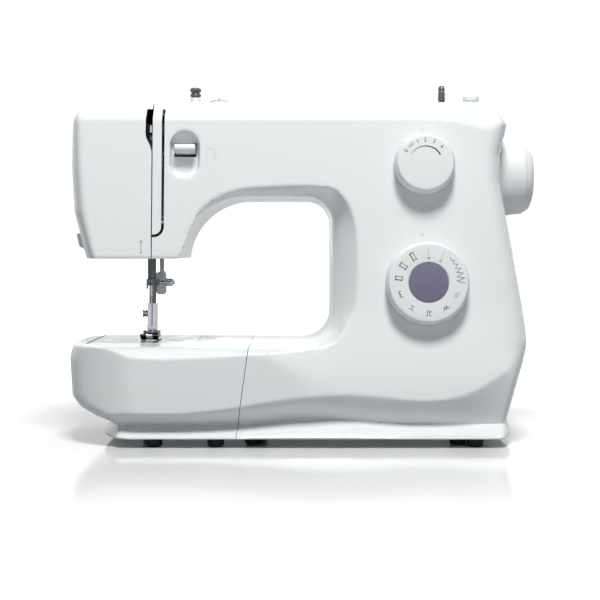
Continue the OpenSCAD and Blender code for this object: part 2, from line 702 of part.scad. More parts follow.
module foot_holder() {
  color(steel) difference() {
    union() {
      box([holder_x0, y_presser - 4, z_pin + 5], [holder_x1, y_presser + 4.5, bed_h + 31]);
      box([holder_x0, y_needle + 2.5, z_pin - 3], [holder_x1, y_presser + 4, z_pin + 6]);
    }
    rod_z(x_needle, y_presser, bed_h + 20, bed_h + 32, presser_bar_r);
    box([holder_x0 - 1, y_needle + 2, z_pin - 4], [holder_x1 + 1, y_needle + 6.5, z_pin - 1.2]);
    rod_x(holder_x0 - 1, holder_x1 + 1, y_needle + 4.6, z_pin - 1, 1.3);
    rod_x(holder_x0 - 1, x_needle, y_presser, bed_h + 22, 1.5 + run_clear);
  }
}
module foot_screw() {
  color(steel) {
    rod_x(holder_x0 - 4.6, holder_x0 - 0.2, y_presser, bed_h + 22, 3.2);
    rod_x(holder_x0 - 0.3, x_needle - presser_bar_r - 0.1, y_presser, bed_h + 22, 1.5);
  }
}
module presser_foot() {
  z0 = bed_h + foot_gap;
  color([0.16, 0.17, 0.19]) difference() {
    union() {
      box([x_needle - 7.7, y_needle - 12, z0], [x_needle + 7.7, y_needle + 12, z0 + 1.9]);
      for (s = [-1, 1]) translate([x_needle + s * 5.2, 0, 0]) along_x(-2.5, 2.5)
        polygon([[y_needle - 12, z0], [y_needle - 12, z0 + 1.9], [y_needle - 19, z0 + 5.2], [y_needle - 20, z0 + 3.8]]);
      for (s = [-1, 1]) box([x_needle + s * 6.2 - 1, y_needle + 1, z0 + 1], [x_needle + s * 6.2 + 1, y_needle + 7.6, z_pin + 1]);
      rod_x(x_needle - 6.4, x_needle + 6.4, y_needle + 4.6, z_pin - 1, 1.2);
    }
    box([x_needle - 3.5, y_needle - 1.6, z0 - 1], [x_needle + 3.5, y_needle + 1.4, z0 + 4]);
    box([x_needle - 2.5, y_needle - 30, z0 - 1], [x_needle + 2.5, y_needle - 7, z0 + 9]);
    rod_x(x_needle - 5, x_needle + 5, y_needle + 12.8, z0 + 4.6, 3.4);
  }
}
x_lifter = x_needle + 7;
z_lifter = head_z + 1.5;
module presser_lifter() {
  color([0.8, 0.81, 0.82]) along_y(y_presser + 8, y_presser + 11.5) translate([x_lifter, z_lifter]) {
    polygon(concat(
      [[-1.8, 0], [-1.8, -13], [-5, -14.5]],
      arc([-2, -30], 3, 180, 270, 4),
      arc([0.8, -30], 3, 270, 360, 4),
      [[3.8, -15], [1.8, -12], [1.8, 0]]
    ));
    circle(r = 3);
  }
}
// ---------- Feed and shuttle ----------
z_hook = bed_h - 31.5;
// How far the feed dog drops, and the top of the bar under it
feed_drop = 2.5;
feed_z = bed_h - 8.3 - feed_drop - 0.3;
module feed_bar() {
  color(steel) difference() {
    union() {
      box([x_needle - 11, y_needle + 11, feed_z - 4.4], [x_needle + 11, y_needle + 19, feed_z]);
      box([x_needle + 10, y_needle + 12, feed_z - 4.4], [x_seam_top - 20, y_needle + 18, feed_z]);
    }
    for (s = [-1, 1]) rod_z(x_needle + s * 8, y_needle + 15, feed_z - 5, feed_z + 1, 1.5 + run_clear);
  }
}
module feed_dog() {
  color(steel) union() {
    difference() {
      box([x_needle - 9.5, y_needle - 12, bed_h - 8.3], [x_needle + 9.5, y_needle + 19, bed_h - 5.6]);
      box([x_needle - 4, y_needle - 13, bed_h - 9], [x_needle + 4, y_needle + 5, bed_h - 5]);
    }
    for (s = [-1, 1]) rod_z(x_needle + s * 8, y_needle + 15, feed_z - 3.5, bed_h - 8, 1.5);
    for (s = [-1, 1]) translate([x_needle + s * 6, 0, 0]) along_x(-1.5, 1.5) polygon(concat(
      [[y_needle + 12, bed_h - 6], [y_needle - 11, bed_h - 6]],
      [for (i = [0:10]) for (k = [0, 1]) [y_needle - 11 + 2.09 * i + 2.08 * k, bed_h - 0.2 - 1.1 * k]]
    ));
  }
}
race_r = hook_r + 0.6;
module shuttle_race() {
  color(steel) difference() {
    rod_y(x_needle, y_needle - 12, y_needle + 5.6, z_hook, race_r + 2.6);
    rod_y(x_needle, y_needle - 13, y_needle + 4, z_hook, race_r);
    rod_y(x_needle, y_needle, y_needle + 8, z_hook, lower_shaft_r + 1);
    box([x_needle - 7, y_needle - 20, z_hook + 8], [x_needle + 7, y_needle + 10, z_hook + 30]);
  }
}
module shuttle_hook() {
  color(steel) difference() {
    union() {
      rod_y(x_needle, y_needle - 4, y_needle + 3.4, z_hook, hook_r);
      rod_y(x_needle, y_needle + 3, y_needle + 30, z_hook, lower_shaft_r);
    }
    rod_y(x_needle, y_needle - 18, y_needle - 0.2, z_hook, bobbin_r + case_wall + 0.7);
    along_y(y_needle - 20, y_needle + 10) translate([x_needle, z_hook]) polygon([[-1, 5], [-14, 30], [14, 30], [6, 11]]);
  }
}
module bobbin_case() {
  color(steel) difference() {
    union() {
      rod_y(x_needle, y_case, y_case + bobbin_h + 2.4, z_hook, bobbin_r + case_wall + 0.3);
      box([x_needle - 3, y_case - 1.2, z_hook - 11], [x_needle + 3, y_case + 1, z_hook + 13]);
    }
    rod_y(x_needle, y_case + 1.4, y_case + bobbin_h + 4, z_hook, bobbin_r + 0.3);
    box([x_needle + 6, y_case + 3, z_hook], [x_needle + 14, y_case + 7, z_hook + 4]);
  }
}
y_case = y_needle - bobbin_h - 3.4;
module bobbin() {
  color([0.85, 0.85, 0.88]) translate([x_needle, y_case + 1.7, z_hook]) rotate([-90, 0, 0]) difference() {
    rotate_extrude() polygon([[3, 0], [bobbin_r, 0], [bobbin_r, 0.8], [4.4, 0.8], [4.4, bobbin_h - 0.8],
                              [bobbin_r, bobbin_h - 0.8], [bobbin_r, bobbin_h], [3, bobbin_h]]);
    for (i = [0:5]) rotate(i * 60) translate([7.2, 0, -1]) cylinder(h = bobbin_h + 2, r = 1.4);
  }
}
door_x0 = x_needle - 24;
door_x1 = x_needle + 24;
door_z0 = arm_under_z + 3;
door_z1 = bed_h - 6;
module shuttle_door() {
  color(white) difference() {
    union() {
      box([door_x0, y_arm_front + 0.1, door_z0 + 3], [door_x1, y_arm_front + wall, door_z1]);
      rod_x(door_x0, door_x1, y_arm_front + 1.6, door_z0 + 2.4, 1.5);
    }
    rod_y(x_needle, y_arm_front - 8, y_arm_front + 1, door_z1 - 4, 5);
  }
}
// ---------- Controls ----------
module knurled(r0, r1, h, n) {
  linear_extrude(h) polygon([for (i = [0:4 * n - 1]) let (a = i * 90 / n, r = i % 4 < 2 ? r1 : r0) [r * cos(a), r * sin(a)]]);
}
module pattern_dial() {
  color(white) on_front(x_dials + 0.5, z_pattern) difference() {
    union() {
      translate([0, 0, 0.8]) cylinder(h = dial_h - 2, r = pattern_dial_r, $fn = 96);
      translate([0, 0, dial_h - 1.2]) cylinder(h = 1.2, r = pattern_dial_r - 2, $fn = 96);
    }
    translate([0, 0, dial_h - 0.8]) cylinder(h = 2, r = 16);
    translate([0, 0, -2]) cylinder(h = dial_h - 3, r = 4);
  }
}
module dial_hub() {
  color([0.45, 0.43, 0.5]) on_front(x_dials + 0.5, z_pattern)
    translate([0, 0, dial_h - 0.8]) cylinder(h = 1, r = 15.8);
}
module pattern_cam() {
  color([0.9, 0.88, 0.82]) on_front(x_dials + 0.5, z_pattern) {
    translate([0, 0, -42]) cylinder(h = 42 + dial_h - 6, r = 4);
    for (i = [0:3]) translate([i % 2, 0, -28 + 4 * i]) cylinder(h = 2.6, r = 13 + 2 * (i % 3));
    translate([0, 0, -28]) cylinder(h = 15, r = 8);
  }
}
module length_dial() {
  color(white) on_front(x_dials - 1.1, z_length) difference() {
    union() {
      translate([0, 0, 0.8]) cylinder(h = dial_h - 1.6, r = length_dial_r, $fn = 96);
      translate([0, 0, dial_h - 0.8]) cylinder(h = 0.8, r = length_dial_r - 2, $fn = 96);
    }
    translate([0, 0, -2]) cylinder(h = dial_h - 3, r = 3);
  }
}
module length_cam() {
  color([0.9, 0.88, 0.82]) on_front(x_dials - 1.1, z_length) {
    translate([0, 0, -40]) cylinder(h = 40 + dial_h - 6, r = 3);
    translate([2, 0, -18]) cylinder(h = 6, r = 9);
  }
}
module tension_dial() {
  color(white) translate([x_tension, -20 - tension_dial_w / 2, top_h + 5 - tension_dial_r]) rotate([-90, 0, 0]) difference() {
    knurled(tension_dial_r, tension_dial_r - 0.5, tension_dial_w, 60);
    translate([0, 0, -1]) cylinder(h = tension_dial_w + 2, r = 3 + run_clear);
  }
}
module tension_discs() {
  z = top_h + 5 - tension_dial_r;
  color(steel) {
    rod_y(x_tension, -44, y_rail + 1, z, 3);
    for (y = [-40, -36]) rod_y(x_tension, y, y + 0.9, z, tension_dial_r - 6.4 - wall);
    rod_y(x_tension, -33, -28.5, z, 5);
    box([x_tension - 6, y_rail - 6, z_shaft + 22], [x_tension + 6, y_rail, z + 5]);
  }
}
module reverse_lever() {
  color(white) on_front(x_reverse, z_lever) {
    translate([-reverse_w / 2, -3.5, -20]) cube([reverse_w, 7, 18]);
    translate([-reverse_w / 2, 0, -2]) rotate([0, 90, 0]) cylinder(h = reverse_w, r = 3.5);
    translate([-reverse_w / 2, 0, -20]) rotate([0, 90, 0]) cylinder(h = reverse_w, r = 3.5);
  }
}
module winder_slide() {
  color(dark) difference() {
    union() {
      box([x_winder - 12, y_split - 8, top_h - 26], [x_winder + 12, y_split + 8, top_h - 23]);
      rod_z(x_winder, y_split, top_h - 26, top_h - 18, winder_r + 2.6);
    }
    rod_z(x_winder, y_split, top_h - 30, top_h - 10, winder_r + run_clear);
  }
}
module winder_spindle() {
  color(steel) {
    turned_at(x_winder, y_split, top_h - 26) polygon([[0, 0], [winder_r, 0], [winder_r, 29], [winder_r - 0.4, 30],
      [winder_r - 0.4, 35], [winder_r, 36], [winder_r, 40], [winder_r - 1.2, 43.5], [0, 43.5]]);
    color(dark) rod_z(x_winder, y_split, top_h - 17.5, top_h - 13, 11);
  }
}
// Stopper of the winder and the tension guide for winding, both fixed in the casing's top
module winder_parts() {
  color(white) {
    rod_z(x_winder + winder_pitch, y_top_post, top_h - 4, top_h + 3, 3.3);
    rod_z(x_winder + winder_pitch, y_top_post, top_h + 3, top_h + 8.4, 6.8);
    rod_z(x_guide, y_top_post, top_h - 4, top_h + 7, 4.5);
  }
  color(dark) rod_z(x_guide, y_top_post, top_h + 7, top_h + 15, 4.8);
}
module thread_cutter() {
  z0 = head_z + 7;
  z1 = head_z + 22;
  color(white) difference() {
    along_y(-8, 10) polygon([[head_left(z0) - 0.05, z0], [head_left(z1) - 0.05, z1], [head_left(z1) - 4.5, z1 - 2], [head_left(z0) - 6, z0 + 3]]);
    box([x_head - 5, -4, head_z + 14], [head_left(z0) - 5, 12, head_z + 15.2]);
  }
}
// LED board of the lamp and its lens, over the opening in the head's underside
module lamp() {
  z0 = head_z + wall;
  color([0.95, 0.95, 0.85]) {
    box([x_needle - 38, -16, z0], [x_needle - 12, -4, z0 + 2]);
    rod_z(x_needle - 17, -10, z0 - 2.5, z0, 3);
  }
}
// Sloping cover panel with the mains inlet and the power switch
z_switch = panel_z0 + 44;
switch_pin_r = 0.8;
module side_panel() {
  color(dark) difference() {
    union() {
      box([panel_x - 6, panel_y0 + 0.2, panel_z0 + 0.2], [panel_x - 3, panel_y1 - 0.2, panel_z1 - 0.2]);
      box([panel_x - 18, 28, panel_z0 + 6], [panel_x - 3, 52, panel_z0 + 24]);
    }
    box([panel_x - 14, 31, panel_z0 + 9], [panel_x, 49, panel_z0 + 21]);
    box([panel_x - 16, 33, z_switch - 10], [panel_x, 47, z_switch + 10]);
  }
  // Pin that the switch rocks on, held in both sides of its window
  color(dark) rod_y(panel_x - 4.5, 32, 48, z_switch, switch_pin_r);
}
module power_switch() {
  z = z_switch;
  color(dark) difference() {
    along_y(33.4, 46.6) polygon([
      [panel_x - 8, z - 4], [panel_x - 1.5, z - 9], [panel_x - 2.6, z], [panel_x - 0.5, z + 8.6], [panel_x - 8, z + 4]
    ]);
    rod_y(panel_x - 4.5, 33, 47, z, switch_pin_r + run_clear);
  }
}
z_handle = top_h - 24;
module handle_brackets() {
  for (s = [-1, 1]) box([handle_x + s * (handle_l / 2 + 4) - 2.5, y_back - 8, z_handle - 6],
                        [handle_x + s * (handle_l / 2 + 4) + 2.5, y_back + 10, z_handle + 6]);
}
module rear_fittings() {
  color(white) {
    for (s = [-1, 1]) rod_x(handle_x + s * (handle_l / 2 + 1) - 5, handle_x + s * (handle_l / 2 + 1) + 5, y_back + 6, z_handle, 2);
    handle_brackets();
    rod_x(well_x1 - 10, well_x1, well_y, well_z, 7);
  }
  color(steel) rod_x(well_x0 + 1, well_x1 - 5, well_y, well_z, spool_pin_r);
}
module spool_cap() {
  color([0.85, 0.86, 0.87]) difference() {
    union() {
      rod_x(well_x0 + 14, well_x0 + 17, well_y, well_z, 11);
      rod_x(well_x0 + 16, well_x0 + 24, well_y, well_z, 5.5);
    }
    rod_x(well_x0, well_x0 + 30, well_y, well_z, spool_pin_r + run_clear);
  }
}
handle_x = -18;
module carry_handle() {
  color(white) difference() {
    union() {
      for (s = [-1, 1]) {
        rod_x(handle_x + s * (handle_l / 2 - 4) - 4, handle_x + s * (handle_l / 2 - 4) + 4, y_back + 6, z_handle, 5);
        box([handle_x + s * (handle_l / 2 - 4) - 4, y_back + 3.5, z_handle - handle_reach + 6],
            [handle_x + s * (handle_l / 2 - 4) + 4, y_back + 9, z_handle]);
      }
      rod_x(handle_x - handle_l / 2, handle_x + handle_l / 2, y_back + 6.5, z_handle - handle_reach + 6, 6);
    }
    rod_x(-big, big, y_back + 6, z_handle, 2 + run_clear);
  }
}

front_cover();
rear_cover();
face_cover();
base_pan();
free_arm_cover();
needle_plate();
screws();
rubber_feet();
chassis();
main_bushes();
control_plate();
motor();
motor_pulley();
motor_belt();
timing_belt();
shaft_pulleys();
main_shaft();
crank_disc();
hand_wheel();
lower_shaft();
needle_frame();
needle_bar();
needle_clamp();
needle();
clamp_screw();
needle_link();
take_up_lever();
presser_bar();
presser_spring();
foot_holder();
foot_screw();
presser_foot();
presser_lifter();
feed_bar();
feed_dog();
shuttle_race();
shuttle_hook();
bobbin_case();
bobbin();
shuttle_door();
extension_table();
table_feet();
pattern_dial();
dial_hub();
pattern_cam();
length_dial();
length_cam();
tension_dial();
tension_discs();
reverse_lever();
winder_slide();
winder_spindle();
winder_parts();
thread_cutter();
lamp();
side_panel();
power_switch();
rear_fittings();
spool_cap();
carry_handle();
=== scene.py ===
"""Domestic free-arm sewing machine: casings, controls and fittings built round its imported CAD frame."""
import json
import math

import bmesh
import bpy
import numpy as np
from bpy.props import FloatProperty, FloatVectorProperty, PointerProperty
from mathutils import Matrix, Vector


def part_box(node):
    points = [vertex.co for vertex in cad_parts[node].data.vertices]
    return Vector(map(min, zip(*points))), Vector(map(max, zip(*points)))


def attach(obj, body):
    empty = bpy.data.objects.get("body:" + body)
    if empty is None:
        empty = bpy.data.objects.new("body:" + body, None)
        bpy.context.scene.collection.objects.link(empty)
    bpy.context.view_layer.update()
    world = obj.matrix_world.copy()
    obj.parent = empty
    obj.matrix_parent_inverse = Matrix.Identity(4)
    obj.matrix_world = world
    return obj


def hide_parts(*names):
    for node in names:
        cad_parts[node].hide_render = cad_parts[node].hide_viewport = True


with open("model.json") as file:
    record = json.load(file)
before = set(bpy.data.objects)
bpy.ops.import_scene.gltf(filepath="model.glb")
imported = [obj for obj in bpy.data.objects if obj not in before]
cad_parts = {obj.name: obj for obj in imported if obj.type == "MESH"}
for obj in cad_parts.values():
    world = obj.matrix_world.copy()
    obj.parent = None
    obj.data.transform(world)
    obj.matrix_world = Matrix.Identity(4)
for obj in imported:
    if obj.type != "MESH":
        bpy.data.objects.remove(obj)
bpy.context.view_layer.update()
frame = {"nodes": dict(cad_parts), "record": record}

bl_info = {
    "name": "Free-arm sewing machine",
    "version": (1, 0, 0),
    "blender": (4, 5, 0),
    "location": "View3D > Sidebar > Sewing machine",
    "description": "Builds the casings, controls, fittings and stage of a free-arm sewing machine",
    "category": "Object",
}

MM = 0.001


def node_box(name):
    """Lowest and highest corner of a CAD node, in millimetres."""
    low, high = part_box(name)
    return np.array(low) / MM, np.array(high) / MM


TABLE_LOW, TABLE_HIGH = node_box("extension_table")
WHEEL_LOW, WHEEL_HIGH = node_box("hand_wheel")
FRONT_LOW, FRONT_HIGH = node_box("front_cover")
FACE_LOW = node_box("face_cover")[0]

# Landmarks of the casing, in millimetres, taken from the frame
X_LEFT, X_RIGHT = TABLE_LOW[0], WHEEL_HIGH[0]
Y_FRONT, Y_REAR = TABLE_LOW[1], TABLE_HIGH[1]
BED_Z, FOOT_Z, TOP_Z = TABLE_HIGH[2], TABLE_LOW[2], FRONT_HIGH[2]
X_SEAM, X_HEAD, HEAD_Z = FRONT_LOW[0], FACE_LOW[0], FACE_LOW[2]
X_THROAT_L, X_THROAT_R = X_HEAD + 91.5, X_RIGHT - 170
X_TABLE_TOP, X_TABLE_BASE = X_THROAT_R - 66.6, X_THROAT_R - 76.6
ARM_Z, Z_SHAFT = BED_Z + 119.5, TOP_Z - 60
Y_FACE, Y_BACK, Y_SPLIT = Y_FRONT + 14, Y_REAR - 14, 8.0
Z_FACE, Z_FACE_TOP, LEAN = BED_Z + 3, TOP_Z - 15, 14.0
X_COLUMN = X_RIGHT - 31.5
LEAN_ANGLE = math.atan(LEAN / (Z_FACE_TOP - Z_FACE))
WALL = 2.6
WHEEL_BACK = X_RIGHT - 33.2
X_GUIDE, X_STOPPER = X_LEFT + 104, X_RIGHT - 52
Z_REVERSE = TOP_Z - 45
SHAFT_HOLE_R = 8
LAMP_OPENING = (-30, 42, HEAD_Z - 6, HEAD_Z + 8)
WINDER_SLOT = (X_RIGHT - 80.5, X_RIGHT - 63.5, Y_SPLIT - 4.5, Y_SPLIT + 4.5)
WINDER_SLOT_R = 4.4

# Dials on the leaning face: height, and centres as (x, z)
DIAL_TALL = 15.0
PATTERN = (X_RIGHT - 95.5, BED_Z + 50)
LENGTH = (X_RIGHT - 97.1, TOP_Z - 53.7)

# Printed marks, as the heights where they start and end over their surface
PRINT = (0.02, 0.08)
POINTER_PRINT = (0.02, 0.09)
DIAL_PRINT = (DIAL_TALL - 0.05, DIAL_TALL + 0.06)
RIM_PRINT = (-0.05, 0.06)
PLATE_PRINT = (-0.05, 0.03)

# Camera: sideways place in metres and vertical shift of the lens
CAMERA_X, LENS_SHIFT = -0.0021, -50 / 600

# Lights: name, place, target, size and power
LIGHTS = (("key", (0.1, -0.95, 1.6), (0.0, 0, 0.12), 0.42, 31),
          ("top", (0.0, 0.4, 1.9), (0, 0, 0.1), 1.8, 4),
          ("fill", (-0.3, -2.2, 0.35), (0, 0, 0.15), 1.4, 1.2),
          ("rear", (0.5, 1.7, 1.2), (0, 0, 0.15), 1.6, 14))


def face_y(z):
    """Depth of the leaning front face at a height."""
    return Y_FACE + LEAN * (z - Z_FACE) / (Z_FACE_TOP - Z_FACE)


# ---------------------------------------------------------------- settings

class CasingSettings(bpy.types.PropertyGroup):
    """Sizes of the moulded casing."""
    cell: FloatProperty(name="Mesh cell", description="Spacing of the casing's surface mesh",
                        default=1.75 * MM, min=1.2 * MM, max=5 * MM, unit="LENGTH", precision=5)
    seam: FloatProperty(name="Seam", description="Gap between two covers that meet",
                        default=0.5 * MM, min=0.2 * MM, max=1 * MM, unit="LENGTH", precision=5)
    flare_side: FloatProperty(name="Throat flare depth",
                              description="Depth of the soft flare at the throat's right side",
                              default=34 * MM, min=5 * MM, max=60 * MM, unit="LENGTH", precision=4)
    flare_top: FloatProperty(name="Throat lip depth",
                             description="Depth of the lip over and under the throat",
                             default=11 * MM, min=3 * MM, max=30 * MM, unit="LENGTH", precision=4)


class FinishSettings(bpy.types.PropertyGroup):
    """Colours of the finishes."""
    cover: FloatVectorProperty(name="Covers", description="Colour of the gloss covers", subtype="COLOR",
                               default=(0.80, 0.83, 0.835), min=0, max=1)
    control: FloatVectorProperty(name="Controls", description="Colour of the dials and levers",
                                 subtype="COLOR",
                                 default=(0.80, 0.815, 0.82), min=0, max=1)
    hub: FloatVectorProperty(name="Hub disc", description="Colour of the disc in the pattern dial",
                             subtype="COLOR",
                             default=(0.165, 0.155, 0.225), min=0, max=1)
    ink: FloatVectorProperty(name="Ink", description="Colour of the printed marks", subtype="COLOR",
                             default=(0.035, 0.04, 0.05), min=0, max=1)


class StageSettings(bpy.types.PropertyGroup):
    """Camera, floor and light."""
    distance: FloatProperty(name="Camera distance", description="From the origin to the camera",
                            default=1.141,
                            min=0.5, max=5, unit="LENGTH")
    height: FloatProperty(name="Camera height", description="Of the lens above the table", default=0.1555,
                          min=0, max=2, unit="LENGTH")
    lens: FloatProperty(name="Lens", description="Focal length in millimetres", default=81.2, min=20, max=300)


# ---------------------------------------------------------------- casing surface

def arc(centre, radius, a0, a1, n=14):
    return [(centre[0] + radius * math.cos(math.radians(a0 + (a1 - a0) * i / n)),
             centre[1] + radius * math.sin(math.radians(a0 + (a1 - a0) * i / n))) for i in range(n + 1)]


def spline(points, n=8):
    """Smooth open curve through the points."""
    p = [np.array(q, float) for q in points]
    p = [2 * p[0] - p[1]] + p + [2 * p[-1] - p[-2]]
    out = []
    for a, b, c, d in zip(p, p[1:], p[2:], p[3:]):
        for i in range(n):
            t = i / n
            out.append(0.5 * (2 * b + (c - a) * t + (2 * a - 5 * b + 4 * c - d) * t ** 2
                              + (3 * b - a - 3 * c + d) * t ** 3))
    return [tuple(q) for q in out + [p[-2]]]


def loop_distance(u, v, loop):
    """Signed distance to a closed outline, negative inside."""
    best, inside = np.full(u.shape, 1e12), np.zeros(u.shape, bool)
    for (ax, ay), (bx, by) in zip(loop, loop[1:] + loop[:1]):
        ex, ey = bx - ax, by - ay
        if ex * ex + ey * ey < 1e-12:
            continue
        px, py = u - ax, v - ay
        t = np.clip((px * ex + py * ey) / (ex * ex + ey * ey), 0, 1)
        best = np.minimum(best, (px - t * ex) ** 2 + (py - t * ey) ** 2)
        if ay != by:
            inside ^= ((ay > v) != (by > v)) & (u < ex * (v - ay) / ey + ax)
    return np.where(inside, -1, 1) * np.sqrt(best)


class Plane:
    """Signed distances of an outline, tabled once on a fine grid and read back smoothly."""
    STEP = 0.7

    def __init__(self, low, high, loop):
        self.low = np.array(low, float) - 12
        n = np.ceil((np.array(high) + 12 - self.low) / self.STEP).astype(int) + 1
        u = self.low[0] + self.STEP * np.arange(n[0])
        v = self.low[1] + self.STEP * np.arange(n[1])
        self.table = loop_distance(u[:, None] + 0 * v, v + 0 * u[:, None], loop)

    def __call__(self, u, v):
        a = np.clip((u - self.low[0]) / self.STEP, 0, self.table.shape[0] - 1.001)
        b = np.clip((v - self.low[1]) / self.STEP, 0, self.table.shape[1] - 1.001)
        a, b = np.broadcast_arrays(a, b)
        i, j = a.astype(int), b.astype(int)
        s, t, k = a - i, b - j, self.table
        return ((1 - s) * (1 - t) * k[i, j] + s * (1 - t) * k[i + 1, j]
                + (1 - s) * t * k[i, j + 1] + s * t * k[i + 1, j + 1])


def soft_max(a, b, r):
    """Larger of two fields, with the edge where they meet rounded off."""
    h = np.clip(r - np.abs(a - b), 0, None)
    return np.maximum(a, b) + h * h / (4 * r)


def smooth(t):
    t = np.clip(t, 0, 1)
    return t * t * (3 - 2 * t)


def curve(x, points):
    """Smooth height along the length, through the given places."""
    xs, ys = zip(*spline(points, 6))
    return np.interp(x, xs, ys)


# Lines of the bed's front, as (x, z): the band's lower crease and the skirt's upper crease
BAND_LINE = [(X_LEFT - 20, 40), (X_LEFT + 14, 35), (X_LEFT + 34, 30.5), (X_LEFT + 56, 28.2),
             (X_LEFT + 82, 27.6),
             (X_LEFT + 112, 29), (X_LEFT + 144, 33), (X_LEFT + 176, 38.5), (X_LEFT + 206, 41.5),
             (X_LEFT + 232, 42),
             (X_LEFT + 258, 40), (X_LEFT + 286, 37.6), (X_LEFT + 312, 39.5), (X_LEFT + 332, 47),
             (X_LEFT + 351, 59), (X_LEFT + 364, 70.5), (X_LEFT + 374, 83), (X_LEFT + 384, 98)]
SKIRT_LINE = [(X_LEFT - 20, 26), (X_LEFT + 30, 19), (X_LEFT + 60, 17), (X_LEFT + 120, 17),
              (X_LEFT + 158, 18.6),
              (X_LEFT + 190, 21.4), (X_LEFT + 222, 21.2), (X_LEFT + 258, 18.4), (X_LEFT + 290, 17.4),
              (X_LEFT + 384, 17.6)]


def front_depth(x, z):
    """Y of the machine's front surface: leaning face, swelling band, undercut and skirt."""
    along = smooth((x + 60) / 90)
    z_hi = 112 + 4 * along
    z_lo = 76 - 34 * along
    swell = 13.0 - 7.0 * smooth((x + 30) / 90)
    band = face_y(z) - swell * smooth((z_hi - z) / (z_hi - z_lo))
    band = np.maximum(band, Y_FRONT + 0.3)
    z2, z3 = curve(x, BAND_LINE), curve(x, SKIRT_LINE)
    y2 = np.maximum(face_y(z2) - swell * smooth((z_hi - z2) / (z_hi - z_lo)), Y_FRONT + 0.3)
    y3 = Y_FRONT + 19.0
    under = y2 + (y3 - y2) * np.clip((z2 - z) / (z2 - z3), 0, 1) ** 1.15
    skirt = y3 + (Y_FRONT + 3 - y3) * np.clip((z3 - z) / (z3 - FOOT_Z), 0, 1.2) ** 0.85
    return np.where(z > z2, band, np.where(z > z3, under, skirt))


